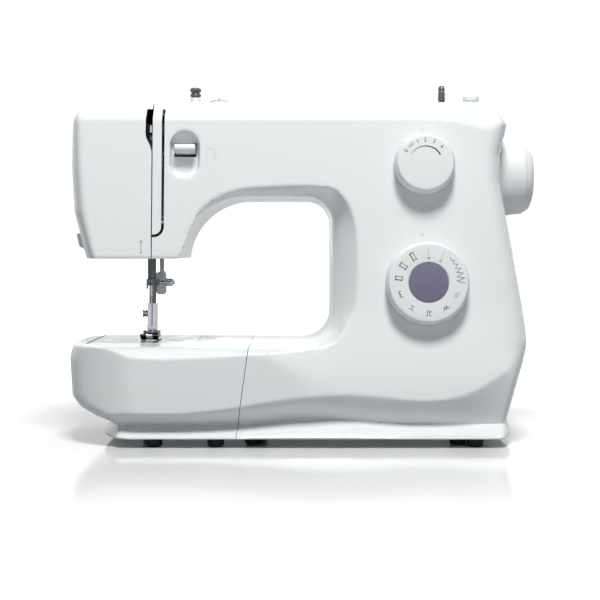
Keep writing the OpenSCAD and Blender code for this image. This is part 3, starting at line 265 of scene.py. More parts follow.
class Casing:
    """Field of the whole moulded body: negative inside, in millimetres."""

    def __init__(self, settings):
        far = 500
        span = ((X_LEFT, FOOT_Z), (X_RIGHT, TOP_Z))
        self.side = settings.flare_side / MM
        self.top = settings.flare_top / MM
        self.outline = Plane(*span, [
            (X_LEFT + 28, FOOT_Z), (X_RIGHT - 22, FOOT_Z), (X_RIGHT - 26, 19), (X_RIGHT - 8, BED_Z + 2),
            (X_RIGHT - 23, BED_Z + 85), (X_COLUMN, Z_SHAFT - 7), (X_COLUMN, Z_SHAFT + 15)]
            + arc((X_RIGHT - 54, TOP_Z - 30), 30, 20, 90)
            + spline([(X_HEAD + 104, TOP_Z), (X_HEAD + 62, TOP_Z - 1.4), (X_HEAD + 32, TOP_Z - 4),
                      (X_HEAD + 14, TOP_Z - 7),
                      (X_HEAD + 5.5, TOP_Z - 10), (X_HEAD + 1.6, TOP_Z - 16), (X_HEAD + 0.6, TOP_Z - 28)], 5)
            + [(X_HEAD, Z_SHAFT + 7), (X_HEAD + 2.5, Z_SHAFT - 30), (X_HEAD + 12.5, HEAD_Z)]
            + [(X_LEFT + 4, BED_Z), (X_LEFT, BED_Z - 11), (X_LEFT + 3, 38), (X_LEFT + 9, 30),
               (X_LEFT + 20, 23.5),
               (X_LEFT + 36, 17)])
        self.plan = Plane((X_LEFT, Y_FRONT), (X_RIGHT, Y_REAR),
                          arc((X_LEFT + 45, Y_FRONT + 45), 45, 180, 270)
                          + arc((X_RIGHT - 32, Y_FRONT + 24), 24, 270, 360)
                          + arc((X_RIGHT - 32, Y_REAR - 24), 24, 0, 90)
                          + arc((X_LEFT + 45, Y_REAR - 45), 45, 90, 180))
        self.back = Plane((Y_FRONT, FOOT_Z), (Y_REAR, TOP_Z), [
            (-far, FOOT_Z), (Y_REAR, FOOT_Z), (Y_REAR, BED_Z - 13), (Y_BACK + 1, BED_Z + 5),
            (Y_BACK - 2, TOP_Z - 27)]
            + arc((Y_BACK - 29, TOP_Z - 27), 27, 0, 90) + arc((Y_FRONT + 53, TOP_Z - 22), 22, 90, 150)
            + [(Y_FACE + LEAN, Z_FACE_TOP), (-far, Z_FACE_TOP)])
        rear = ([(-far, HEAD_Z)] + arc((X_THROAT_L + 55, ARM_Z - 55), 55, 174.8, 90, 20)
                + arc((X_THROAT_R - 20, ARM_Z - 20), 20, 90, 0)
                + arc((X_THROAT_R - 24, BED_Z + 24), 24, 0, -90)
                + [(-far, BED_Z)])
        lip = spline([(X_THROAT_L + 0.5, HEAD_Z), (X_THROAT_L + 4.5, 155.2), (X_THROAT_L + 8.1, 164.3),
                      (X_THROAT_L + 12.7, 176.2), (X_THROAT_L + 19, 187.2), (X_THROAT_L + 30.9, 196.9),
                      (X_THROAT_L + 44.6, 202.4), (X_THROAT_L + 58.4, 205.1), (X_THROAT_L + 76.6, 206.4),
                      (X_THROAT_L + 95, 207), (X_THROAT_L + 113.2, 206.4), (X_THROAT_L + 122.4, 205.1),
                      (X_THROAT_L + 129.8, 200.9), (X_THROAT_L + 137.5, 190), (X_THROAT_L + 142.7, 171.4),
                      (X_THROAT_L + 143.9, 145), (X_THROAT_L + 143.1, 118.9), (X_THROAT_L + 139.8, 104.5),
                      (X_THROAT_L + 133.1, 94.1), (X_THROAT_L + 129.2, 87.7), (X_THROAT_L + 121.5, 81),
                      (X_THROAT_L + 98.7, 77.4), (X_THROAT_L + 58, 73.4), (X_THROAT_L + 24.6, 70.7),
                      (X_THROAT_L, 69.6), (X_THROAT_L - 18, 69.5), (X_LEFT + 50, 71.8), (X_LEFT + 28, 76.3),
                      (X_LEFT + 8, BED_Z)], 6)
        front = [(-far, HEAD_Z)] + lip + [(-far, BED_Z)]
        self.gap_rear = Plane(*span, rear)
        self.gap_front = Plane(*span, front)
        self.recess = (X_LEFT + 99.8, Z_REVERSE)

    def __call__(self, x, y, z):
        front = front_depth(x, z)
        # the ends draw in towards the front
        near = np.clip((30 - y) / (30 - Y_FRONT), 0, 1) ** 4
        draw = near * (17 * smooth((x - 60) / 90) - 27 * smooth((-x - 70) / 90))
        body = soft_max(self.outline(x + draw, z), self.plan(x + draw, y), 6.0)
        body = soft_max(body, self.back(y, z), 4.0)
        body = soft_max(body, (front - y) * 0.97, 3.2 + 12 * smooth((x - 105) / 60) * smooth((z - 50) / 30))
        reach = self.top + (self.side - self.top) * smooth((x + 14) / 46) * smooth((z - BED_Z) / 14)
        share = np.clip(1 - (y - front) / reach, 0, 1) ** 1.7
        gap = share * self.gap_front(x, z) + (1 - share) * self.gap_rear(x, z)
        body = soft_max(body, -gap, 1.0)
        # thumb recess of the reverse lever, in the leaning face
        rx, rz = self.recess
        up = (z - rz) * math.cos(LEAN_ANGLE) + (y - face_y(rz)) * math.sin(LEAN_ANGLE)
        deep = (y - face_y(rz)) * math.cos(LEAN_ANGLE) - (z - rz) * math.sin(LEAN_ANGLE)
        pill = np.hypot(x - rx, up - np.clip(up, -7, 7)) - 11.5
        body = soft_max(body, -soft_max(pill, deep - 10, 5.0), 2.0)
        # trough of the spool pin, in the rear of the top
        spool_y, spool_z = Y_BACK + 1, TOP_Z - 11
        trough = soft_max(np.hypot(y - spool_y, z - spool_z) - 17.0, np.abs(x - (X_RIGHT - 114)) - 32.0, 3.0)
        body = soft_max(body, -trough, 1.6)
        # round seat of the hand wheel, in the column's end
        seat = soft_max(np.hypot(y - Y_SPLIT, z - Z_SHAFT) - 34.6, WHEEL_BACK - 0.9 - x, 1.0)
        return soft_max(body, -seat, 2.5)


def surface_net(field, low, high, cell):
    """Closed quad mesh on a field's zero surface: one point per cell that the surface crosses, then moved
    onto it."""
    n = np.ceil((high - low) / cell).astype(int) + 1
    ax = [low[k] + cell * np.arange(n[k]) for k in range(3)]
    value = field(ax[0][:, None, None], ax[1][None, :, None], ax[2][None, None, :]).astype(np.float32)
    inside = value < 0
    corners = [(i, j, k) for i in (0, 1) for j in (0, 1) for k in (0, 1)]
    cut = [tuple(slice(c[k], n[k] - 1 + c[k]) for k in range(3)) for c in corners]
    count = sum(inside[s].astype(np.int8) for s in cut)
    cells = np.argwhere((count > 0) & (count < 8))
    index = -np.ones(tuple(n - 1), np.int64)
    index[tuple(cells.T)] = np.arange(len(cells))
    at = [value[tuple((cells + c).T)] for c in corners]
    total, hits = np.zeros((len(cells), 3)), np.zeros(len(cells))
    for a, ca in enumerate(corners):
        for b, cb in enumerate(corners):
            if b > a and sum(p != q for p, q in zip(ca, cb)) == 1:
                cross = (at[a] < 0) != (at[b] < 0)
                t = np.where(cross, at[a] / np.where(cross, at[a] - at[b], 1), 0)
                place = np.array(ca) + t[:, None] * (np.array(cb) - np.array(ca))
                total += np.where(cross[:, None], place, 0)
                hits += cross
    points = low + cell * (cells + total / hits[:, None])
    start = points.copy()
    step = 0.15
    for _ in range(3):
        x, y, z = points.T
        f = field(x, y, z)
        g = np.stack([(field(x + step, y, z) - field(x - step, y, z)),
                      (field(x, y + step, z) - field(x, y - step, z)),
                      (field(x, y, z + step) - field(x, y, z - step))], 1) / (2 * step)
        points = points - (f / np.maximum((g * g).sum(1), 0.05))[:, None] * g
        points = start + np.clip(points - start, -0.8 * cell, 0.8 * cell)
    faces = []
    for axis in range(3):
        u, v = (axis + 1) % 3, (axis + 2) % 3
        lo = [slice(None)] * 3
        hi = [slice(None)] * 3
        lo[axis], hi[axis] = slice(0, n[axis] - 1), slice(1, n[axis])
        change = np.argwhere(inside[tuple(lo)] != inside[tuple(hi)])
        change = change[(change[:, u] > 0) & (change[:, v] > 0) & (change[:, u] < n[u] - 1) & (change[:,
                v] < n[v] - 1)]
        rising = inside[tuple(change.T)]
        quad = []
        for du, dv in ((1, 1), (0, 1), (0, 0), (1, 0)):
            c = change.copy()
            c[:, u] -= du
            c[:, v] -= dv
            quad.append(index[tuple(c.T)])
        quad = np.stack(quad, 1)
        quad[~rising] = quad[~rising][:, ::-1]
        faces.append(quad)
    return points, np.concatenate(faces)


_skins = {}


def casing_skin(settings):
    """Points (mm) and faces of the whole casing's outer skin, made once."""
    if "casing" not in _skins:
        low = np.array([X_LEFT - 4, Y_FRONT - 4, FOOT_Z - 4], float)
        high = np.array([X_RIGHT, Y_REAR + 4, TOP_Z + 4], float)
        _skins["casing"] = surface_net(Casing(settings), low, high, settings.cell / MM)
    return _skins["casing"]


# ---------------------------------------------------------------- mesh tools

def new_object(name, mesh, material=None):
    thing = bpy.data.objects.new(name, mesh)
    bpy.context.scene.collection.objects.link(thing)
    if material is not None:
        mesh.materials.clear()
        mesh.materials.append(material)
    return thing


def mesh_from(name, points, faces):
    """Mesh from points in millimetres."""
    mesh = bpy.data.meshes.new(name)
    mesh.from_pydata([tuple(p * MM for p in q) for q in points], [],
                     [tuple(int(i) for i in f) for f in faces])
    mesh.update()
    return mesh


def smooth_by_angle(mesh, angle=32):
    """Smooth shading with sharp edges where the faces turn by more than the angle."""
    bm = bmesh.new()
    bm.from_mesh(mesh)
    for f in bm.faces:
        f.smooth = True
    limit = math.radians(angle)
    for e in bm.edges:
        e.smooth = not (len(e.link_faces) == 2 and e.calc_face_angle(0) > limit)
    bm.to_mesh(mesh)
    bm.free()


def apply_modifiers(thing):
    """Bakes an object's modifiers into its mesh."""
    dg = bpy.context.evaluated_depsgraph_get()
    mesh = bpy.data.meshes.new_from_object(thing.evaluated_get(dg), depsgraph=dg)
    old = thing.data
    thing.modifiers.clear()
    thing.data = mesh
    mesh.name = thing.name
    if old.users == 0:
        bpy.data.meshes.remove(old)
    return thing


def add_prism(bm, loop, axis, start, end):
    """Closed prism of an outline (mm) along an axis. The outline's two coordinates follow the axis in the
    order x, y, z."""
    def at(u, v, w):
        return {"x": (w, u, v), "y": (u, w, v), "z": (u, v, w)}[axis]
    lower = [bm.verts.new([MM * c for c in at(u, v, start)]) for u, v in loop]
    upper = [bm.verts.new([MM * c for c in at(u, v, end)]) for u, v in loop]
    made = [bm.faces.new(lower), bm.faces.new(upper)]
    made += [bm.faces.new((lower[i - 1], lower[i], upper[i], upper[i - 1])) for i in range(len(loop))]
    bmesh.ops.recalc_face_normals(bm, faces=made)
    return lower + upper


def add_box(bm, low, high):
    return add_prism(bm, [(low[0], low[1]), (high[0], low[1]), (high[0], high[1]), (low[0], high[1])], "z",
                     low[2], high[2])


def disc(u, v, r, n=40):
    return [(u + r * math.cos(2 * math.pi * i / n), v + r * math.sin(2 * math.pi * i / n)) for i in range(n)]


def carve(thing, fill):
    """Takes the shapes that fill(bm) adds away from a piece."""
    bm = bmesh.new()
    fill(bm)
    mesh = bpy.data.meshes.new("cutter")
    bm.to_mesh(mesh)
    bm.free()
    cutter = new_object("cutter", mesh)
    m = thing.modifiers.new("carve", "BOOLEAN")
    m.operation, m.object, m.solver = "DIFFERENCE", cutter, "EXACT"
    apply_modifiers(thing)
    bpy.data.objects.remove(cutter)
    if not thing.data.polygons:
        raise RuntimeError(thing.name + " was lost as its openings were cut")
    return thing


def finish_piece(thing, body, replaced=()):
    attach(thing, body)
    if replaced:
        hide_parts(*replaced)
    return thing


# ---------------------------------------------------------------- shader node groups and materials

def socket(group, name, kind, into=True, default=None):
    s = group.interface.new_socket(name=name, in_out="INPUT" if into else "OUTPUT", socket_type=kind)
    if default is not None:
        s.default_value = default
    return s


def math_node(tree, operation, a, b=None, clamp=False):
    n = tree.nodes.new("ShaderNodeMath")
    n.operation, n.use_clamp = operation, clamp
    for k, v in enumerate((a, b)):
        if v is None:
            continue
        if isinstance(v, (int, float)):
            n.inputs[k].default_value = v
        else:
            tree.links.new(v, n.inputs[k])
    return n.outputs[0]


def noise(tree, vector, scale, detail=3.0, rough=0.55):
    n = tree.nodes.new("ShaderNodeTexNoise")
    n.inputs["Scale"].default_value = scale
    n.inputs["Detail"].default_value = detail
    n.inputs["Roughness"].default_value = rough
    tree.links.new(vector, n.inputs["Vector"])
    return n.outputs["Fac"]


def grain_group():
    """Fine moulded or ground grain: a height for bump, a tint and a roughness change."""
    if "Surface grain" in bpy.data.node_groups:
        return bpy.data.node_groups["Surface grain"]
    g = bpy.data.node_groups.new("Surface grain", "ShaderNodeTree")
    socket(g, "Scale", "NodeSocketFloat", default=900.0)
    socket(g, "Stretch", "NodeSocketVector", default=(1, 1, 1))
    socket(g, "Roughness", "NodeSocketFloat", default=0.3)
    socket(g, "Variation", "NodeSocketFloat", default=0.1)
    socket(g, "Height", "NodeSocketFloat", into=False)
    socket(g, "Roughness", "NodeSocketFloat", into=False)
    socket(g, "Mottle", "NodeSocketFloat", into=False)
    n_in, n_out = g.nodes.new("NodeGroupInput"), g.nodes.new("NodeGroupOutput")
    place = g.nodes.new("ShaderNodeTexCoord").outputs["Object"]
    stretch = g.nodes.new("ShaderNodeVectorMath")
    stretch.operation = "MULTIPLY"
    g.links.new(place, stretch.inputs[0])
    g.links.new(n_in.outputs["Stretch"], stretch.inputs[1])
    fine = g.nodes.new("ShaderNodeTexNoise")
    fine.inputs["Detail"].default_value = 2.0
    g.links.new(n_in.outputs["Scale"], fine.inputs["Scale"])
    g.links.new(stretch.outputs[0], fine.inputs["Vector"])
    broad = noise(g, place, 14.0, 2.0)
    g.links.new(fine.outputs["Fac"], n_out.inputs["Height"])
    g.links.new(broad, n_out.inputs["Mottle"])
    mixed = math_node(g, "ADD", math_node(g, "MULTIPLY", fine.outputs["Fac"], 0.4),
                      math_node(g, "MULTIPLY", broad, 0.6))
    change = math_node(g, "MULTIPLY", math_node(g, "SUBTRACT", mixed, 0.5), n_in.outputs["Variation"])
    g.links.new(math_node(g, "ADD", n_in.outputs["Roughness"], change, True), n_out.inputs["Roughness"])
    return g


def wear_group():
    """Edge wear and mottling: a mask from the surface's convexity, broken up by noise."""
    if "Edge wear" in bpy.data.node_groups:
        return bpy.data.node_groups["Edge wear"]
    g = bpy.data.node_groups.new("Edge wear", "ShaderNodeTree")
    socket(g, "Amount", "NodeSocketFloat", default=0.3)
    socket(g, "Base", "NodeSocketColor", default=(0.8, 0.8, 0.8, 1))
    socket(g, "Worn", "NodeSocketColor", default=(0.9, 0.9, 0.9, 1))
    socket(g, "Mottle", "NodeSocketFloat", default=0.5)
    socket(g, "Mottle depth", "NodeSocketFloat", default=0.03)
    socket(g, "Color", "NodeSocketColor", into=False)
    socket(g, "Mask", "NodeSocketFloat", into=False)
    n_in, n_out = g.nodes.new("NodeGroupInput"), g.nodes.new("NodeGroupOutput")
    geometry = g.nodes.new("ShaderNodeNewGeometry")
    edge = g.nodes.new("ShaderNodeMapRange")
    edge.inputs["From Min"].default_value = 0.53
    edge.inputs["From Max"].default_value = 0.62
    g.links.new(geometry.outputs["Pointiness"], edge.inputs["Value"])
    patch = noise(g, g.nodes.new("ShaderNodeTexCoord").outputs["Object"], 160.0, 3.0)
    mask = math_node(g, "MULTIPLY", math_node(g, "MULTIPLY", edge.outputs[0], patch), n_in.outputs["Amount"],
                     True)
    mix = g.nodes.new("ShaderNodeMix")
    mix.data_type = "RGBA"
    g.links.new(mask, mix.inputs["Factor"])
    g.links.new(n_in.outputs["Base"], mix.inputs[6])
    g.links.new(n_in.outputs["Worn"], mix.inputs[7])
    shade = math_node(g, "ADD", 1.0, math_node(g, "MULTIPLY",
                                               math_node(g, "SUBTRACT", n_in.outputs["Mottle"], 0.5),
                                               n_in.outputs["Mottle depth"]))
    scale = g.nodes.new("ShaderNodeVectorMath")
    scale.operation = "SCALE"
    g.links.new(mix.outputs[2], scale.inputs[0])
    g.links.new(shade, scale.inputs["Scale"])
    g.links.new(scale.outputs[0], n_out.inputs["Color"])
    g.links.new(mask, n_out.inputs["Mask"])
    return g


def material(name, color, rough, metallic=0.0, grain=900.0, depth=0.00002, stretch=(1, 1, 1), variation=0.1,
             wear=0.2, worn=None, mottle=0.03, coat=0.0, coat_rough=0.1, ior=1.46, subsurface=0.0,
             transmission=0.0):
    """Principled material with shared grain and wear groups."""
    if name in bpy.data.materials:
        return bpy.data.materials[name]
    m = bpy.data.materials.new(name)
    m.use_nodes = True
    t = m.node_tree
    shader = t.nodes["Principled BSDF"]
    g = t.nodes.new("ShaderNodeGroup")
    g.node_tree = grain_group()
    g.inputs["Scale"].default_value = grain
    g.inputs["Stretch"].default_value = stretch
    g.inputs["Roughness"].default_value = rough
    g.inputs["Variation"].default_value = variation
    w = t.nodes.new("ShaderNodeGroup")
    w.node_tree = wear_group()
    w.inputs["Amount"].default_value = wear
    w.inputs["Base"].default_value = (*color, 1)
    w.inputs["Worn"].default_value = (*(worn or [min(1, c * 1.12 + 0.02) for c in color]), 1)
    w.inputs["Mottle depth"].default_value = mottle
    t.links.new(g.outputs["Mottle"], w.inputs["Mottle"])
    t.links.new(w.outputs["Color"], shader.inputs["Base Color"])
    t.links.new(g.outputs["Roughness"], shader.inputs["Roughness"])
    bump = t.nodes.new("ShaderNodeBump")
    bump.inputs["Strength"].default_value = 0.35
    bump.inputs["Distance"].default_value = depth
    t.links.new(g.outputs["Height"], bump.inputs["Height"])
    t.links.new(bump.outputs["Normal"], shader.inputs["Normal"])
    shader.inputs["Metallic"].default_value = metallic
    shader.inputs["IOR"].default_value = ior
    shader.inputs["Coat Weight"].default_value = coat
    shader.inputs["Coat Roughness"].default_value = coat_rough
    shader.inputs["Subsurface Weight"].default_value = subsurface
    shader.inputs["Subsurface Radius"].default_value = (0.004, 0.004, 0.004)
    shader.inputs["Transmission Weight"].default_value = transmission
    return m


def finishes():
    """Every material of the machine, by the record's slot."""
    s = bpy.context.scene.machine_finish
    cover, control = tuple(s.cover), tuple(s.control)
    return {
        "cover_white": material("Gloss cover", cover, 0.22, grain=2600, depth=0.000006, wear=0.1,
                                mottle=0.012, coat=0.25, coat_rough=0.06),
        "dial_white": material("Satin control", control, 0.36, grain=2200, depth=0.00001, wear=0.15,
                               mottle=0.015),
        "hub_grey": material("Hub disc", tuple(s.hub), 0.38, grain=1800, depth=0.00001, wear=0.2,
                             mottle=0.04),
        "lifter_grey": material("Grey lever", (0.72, 0.73, 0.74), 0.34, grain=1500, depth=0.00001, wear=0.2),
        "cam_plastic": material("Acetal", (0.76, 0.72, 0.62), 0.45, grain=1200, wear=0.2),
        "black_plastic": material("Black plastic", (0.018, 0.018, 0.02), 0.42, grain=1400, depth=0.00003,
                                  wear=0.5, worn=(0.09, 0.09, 0.095)),
        "polished_steel": material("Polished steel", (0.42, 0.43, 0.46), 0.14, metallic=1.0, grain=700,
                                   depth=0.000004, wear=0.3, mottle=0.05),
        "brushed_steel": material("Brushed steel", (0.52, 0.53, 0.55), 0.3, metallic=1.0, grain=600,
                                  stretch=(1, 1, 14), depth=0.00001, wear=0.4, mottle=0.06),
        "dark_steel": material("Dark steel", (0.075, 0.08, 0.09), 0.22, metallic=1.0, grain=900,
                               depth=0.00001, wear=0.7, worn=(0.4, 0.4, 0.42), mottle=0.08),
        "cast_frame": material("Cast frame", (0.3, 0.31, 0.33), 0.5, metallic=0.6, grain=500, depth=0.0001,
                               wear=0.5, mottle=0.12),
        "bronze": material("Sintered bronze", (0.5, 0.33, 0.17), 0.42, metallic=1.0, grain=1500,
                           depth=0.00003, wear=0.3, mottle=0.1),
        "rubber": material("Rubber", (0.012, 0.012, 0.013), 0.7, grain=900, depth=0.00006, wear=0.5,
                           worn=(0.05, 0.05, 0.05), mottle=0.2),
        "motor_paint": material("Motor paint", (0.05, 0.052, 0.06), 0.4, grain=800, depth=0.00003, wear=0.4,
                                worn=(0.3, 0.3, 0.3)),
        "bobbin_clear": material("Clear bobbin", (0.75, 0.78, 0.82), 0.12, grain=900, depth=0.00001, wear=0.1,
                                 transmission=0.7),
        "lamp_lens": material("Lamp lens", (0.85, 0.85, 0.78), 0.3, grain=900, depth=0.00002, wear=0.1,
                              transmission=0.3),
        # Near-black inside of the covers: painted shade, so the openings and the gap under the base read dark
        "inside": material("Casing inside painted shade", (0.02, 0.021, 0.022), 0.6, grain=900, depth=0.00002, wear=0.0,
                           mottle=0.1),
        "ink": material("Printed ink", tuple(s.ink), 0.5, grain=2500, depth=0.000004, wear=0.0, mottle=0.1),
        "ink_faint": material("Faint ink", (0.66, 0.69, 0.70), 0.4, grain=2500, depth=0.000004, wear=0.0,
                              mottle=0.1),
        # Dark chrome: on the needle and presser bars its darkness is a painted dark reflection
        "dark_chrome": material("Dark chrome", (0.12, 0.125, 0.13), 0.16, metallic=1.0, grain=900,
                                depth=0.000006, wear=0.6, worn=(0.6, 0.6, 0.62), mottle=0.1),
        "ink_pale": material("Pale ink", (0.33, 0.35, 0.37), 0.5, grain=2500, depth=0.000004, wear=0.0,
                             mottle=0.1),
    }


# ---------------------------------------------------------------- stage

class MACHINE_OT_stage(bpy.types.Operator):
    """Makes the camera, the pale floor and the soft studio light"""
    bl_idname = "machine.stage"
    bl_label = "Stage"

    def execute(self, context):
        s = context.scene.machine_stage
        cam_data = bpy.data.cameras.new("camera")
        cam_data.lens = s.lens
        cam_data.shift_y = LENS_SHIFT
        cam_data.clip_end = 60
        cam = bpy.data.objects.new("camera", cam_data)
        cam.location = (CAMERA_X, -s.distance, s.height)
        cam.rotation_euler = (math.radians(90), 0, 0)
        context.scene.collection.objects.link(cam)
        context.scene.camera = cam

        bm = bmesh.new()
        bmesh.ops.create_grid(bm, x_segments=1, y_segments=1, size=30)
        mesh = bpy.data.meshes.new("floor")
        bm.to_mesh(mesh)
        bm.free()
        floor = bpy.data.materials.new("Pale floor")
        floor.use_nodes = True
        t = floor.node_tree
        shader = t.nodes["Principled BSDF"]
        ray = t.nodes.new("ShaderNodeLightPath")
        # Camera rays see a pale base colour and other rays a darker one, so the floor sends less bounce light
        # onto the machine
        tone = t.nodes.new("ShaderNodeMix")
        tone.data_type = "RGBA"
        tone.inputs[6].default_value = (0.4, 0.42, 0.43, 1)
        tone.inputs[7].default_value = (0.95, 0.95, 0.95, 1)
        t.links.new(ray.outputs["Is Camera Ray"], tone.inputs["Factor"])
        t.links.new(tone.outputs[2], shader.inputs["Base Color"])
        soft = noise(t, t.nodes.new("ShaderNodeTexCoord").outputs["Object"], 3.0, 2.0)
        t.links.new(math_node(t, "ADD", 0.085, math_node(t, "MULTIPLY", soft, 0.03)),
                    shader.inputs["Roughness"])
        shader.inputs["IOR"].default_value = 1.4
        place = t.nodes.new("ShaderNodeTexCoord").outputs["Object"]
        length = t.nodes.new("ShaderNodeVectorMath")
        length.operation = "LENGTH"
        t.links.new(place, length.inputs[0])
        # Emission for camera rays only, from none within 0.21 m of the origin up to 0.75 at 0.7 m: a painted glow
        # that whitens the far floor and leaves the floor round the machine unlit
        far = t.nodes.new("ShaderNodeMapRange")
        far.interpolation_type = "SMOOTHSTEP"
        far.inputs["From Min"].default_value = 0.21
        far.inputs["From Max"].default_value = 0.7
        far.inputs["To Max"].default_value = 0.75
        t.links.new(length.outputs["Value"], far.inputs["Value"])
        shader.inputs["Emission Color"].default_value = (1, 1, 1, 1)
        t.links.new(math_node(t, "MULTIPLY", far.outputs[0], ray.outputs["Is Camera Ray"]),
                    shader.inputs["Emission Strength"])
        ground = new_object("floor", mesh, floor)
        ground.location = (0, 0, -0.0002)

        world = bpy.data.worlds.new("studio")
        context.scene.world = world
        world.use_nodes = True
        w = world.node_tree
        back = w.nodes["Background"]
        back.inputs["Color"].default_value = (0.97, 0.985, 1.0, 1)
        back.inputs["Strength"].default_value = 0.06
        shown = w.nodes.new("ShaderNodeBackground")
        shown.inputs["Color"].default_value = (1, 1, 1, 1)
        shown.inputs["Strength"].default_value = 1.05
        ray = w.nodes.new("ShaderNodeLightPath")
        mix = w.nodes.new("ShaderNodeMixShader")
        w.links.new(math_node(w, "MAXIMUM", ray.outputs["Is Camera Ray"], ray.outputs["Is Glossy Ray"]),
                    mix.inputs["Fac"])
        w.links.new(back.outputs[0], mix.inputs[1])
        w.links.new(shown.outputs[0], mix.inputs[2])
        w.links.new(mix.outputs[0], w.nodes["World Output"].inputs["Surface"])
        for name, place, target, size, power in LIGHTS:
            data = bpy.data.lights.new(name, "AREA")
            data.shape, data.size, data.energy = "SQUARE", size, power
            lamp = bpy.data.objects.new(name, data)
            lamp.location = place
            lamp.rotation_euler = (Vector(target) - Vector(place)).to_track_quat("-Z", "Y").to_euler()
            context.scene.collection.objects.link(lamp)
        context.scene.view_settings.view_transform = "Standard"
        return {"FINISHED"}


# ---------------------------------------------------------------- casings

def keep_side(bm, geom_test, co, no, fill):
    """Cuts the faces that pass a test with a plane (mm), drops what lies on the normal's side, and may
    close the cut."""
    faces = [f for f in bm.faces if geom_test(f.calc_center_median() / MM)]
    edges = {e for f in faces for e in f.edges}
    verts = {v for f in faces for v in f.verts}
    cut = bmesh.ops.bisect_plane(bm, geom=faces + list(edges) + list(verts), dist=1e-7,
                                 plane_co=Vector(co) * MM,
                                 plane_no=Vector(no), clear_outer=True)
    if fill:
        rim = [e for e in cut["geom_cut"] if isinstance(e, bmesh.types.BMEdge) and e.is_valid
               and e.is_boundary]
        bmesh.ops.edgenet_fill(bm, edges=rim)
        bmesh.ops.recalc_face_normals(bm, faces=bm.faces[:])


def skin_bmesh(settings):
    points, faces = casing_skin(settings)
    bm = bmesh.new()
    verts = [bm.verts.new([c * MM for c in p]) for p in points]
    for f in faces:
        try:
            bm.faces.new([verts[i] for i in f])
        except ValueError:
            pass
    bm.normal_update()
    return bm


SEAM_TILT = math.atan2(X_TABLE_TOP - X_TABLE_BASE, BED_Z - FOOT_Z)
SEAM_NORMAL = (math.cos(SEAM_TILT), 0, -math.sin(SEAM_TILT))
THROAT_MID = (BED_Z + HEAD_Z) / 2


def is_bed(c):
    return c[2] < THROAT_MID and c[0] < X_THROAT_R - 20


def is_head(c):
    return c[2] > THROAT_MID and c[0] < X_THROAT_R - 40


def skin_part(settings, wanted):
    """The skin's faces that pass a test."""
    bm = skin_bmesh(settings)
    doomed = [f for f in bm.faces if not wanted(f.calc_center_median() / MM)]
    bmesh.ops.delete(bm, geom=doomed, context="FACES")
    return bm


def shell(name, bm):
    """Closed shell with a moulded wall, from an open outer skin."""
    mesh = bpy.data.meshes.new(name)
    bmesh.ops.dissolve_degenerate(bm, dist=1e-6, edges=bm.edges[:])
    bm.to_mesh(mesh)
    bm.free()
    thing = new_object(name, mesh, finishes()["cover_white"])
    m = thing.modifiers.new("wall", "SOLIDIFY")
    m.thickness, m.offset, m.use_even_offset, m.use_rim = WALL * MM, -1, False, True
    # The wall's inner faces take the near-black inside colour: painted shade that makes the openings read dark
    mesh.materials.append(finishes()["inside"])
    m.material_offset = 1
    apply_modifiers(thing)
    # The base's downward faces also take the near-black colour: painted shade for the dark gap under the machine
    for f in thing.data.polygons:
        if f.normal.z < -0.9 and f.center.z < (FOOT_Z + 1) * MM:
            f.material_index = 1
    return thing


def slot_outline(x0, x1, z0, z1, r=1.0):
    r = min(r, (x1 - x0) / 2.01)
    return (arc((x1 - r, z1 - r), r, 0, 90, 4) + arc((x0 + r, z1 - r), r, 90, 180, 4)
            + arc((x0 + r, z0 + r), r, 180, 270, 4) + arc((x1 - r, z0 + r), r, 270, 360, 4))


def on_face(u, v, w, x, z):
    """Point (mm) from the leaning face's own frame: u along the length, v up the face, w out of it."""
    c, s = math.cos(LEAN_ANGLE), math.sin(LEAN_ANGLE)
    return (x + u, face_y(z) + v * s - w * c, z + v * c + w * s)


def add_face_rod(bm, x, z, r, w0, w1, n=32):
    rings = [[bm.verts.new([c * MM for c in on_face(u, v, w, x, z)]) for u, v in disc(0, 0, r, n)]
             for w in (w0, w1)]
    made = [bm.faces.new(rings[0]), bm.faces.new(rings[1])]
    made += [bm.faces.new((rings[0][i - 1], rings[0][i], rings[1][i], rings[1][i - 1])) for i in range(n)]
    bmesh.ops.recalc_face_normals(bm, faces=made)


def head_opening(bm, x0, x1):
    """Opening in the head's underside for the bars and the lamp."""
    y0, y1, z0, z1 = LAMP_OPENING
    add_box(bm, (x0, y0, z0), (x1, y1, z1))


def winder_and_shaft_openings(bm):
    """Slot of the bobbin winder in the top and the main shaft's hole in the column's end."""
    add_prism(bm, slot_outline(*WINDER_SLOT, WINDER_SLOT_R), "z", TOP_Z - 14, TOP_Z + 8)
    add_prism(bm, disc(Y_SPLIT, Z_SHAFT, SHAFT_HOLE_R), "x", X_COLUMN - 12, X_RIGHT + 5)


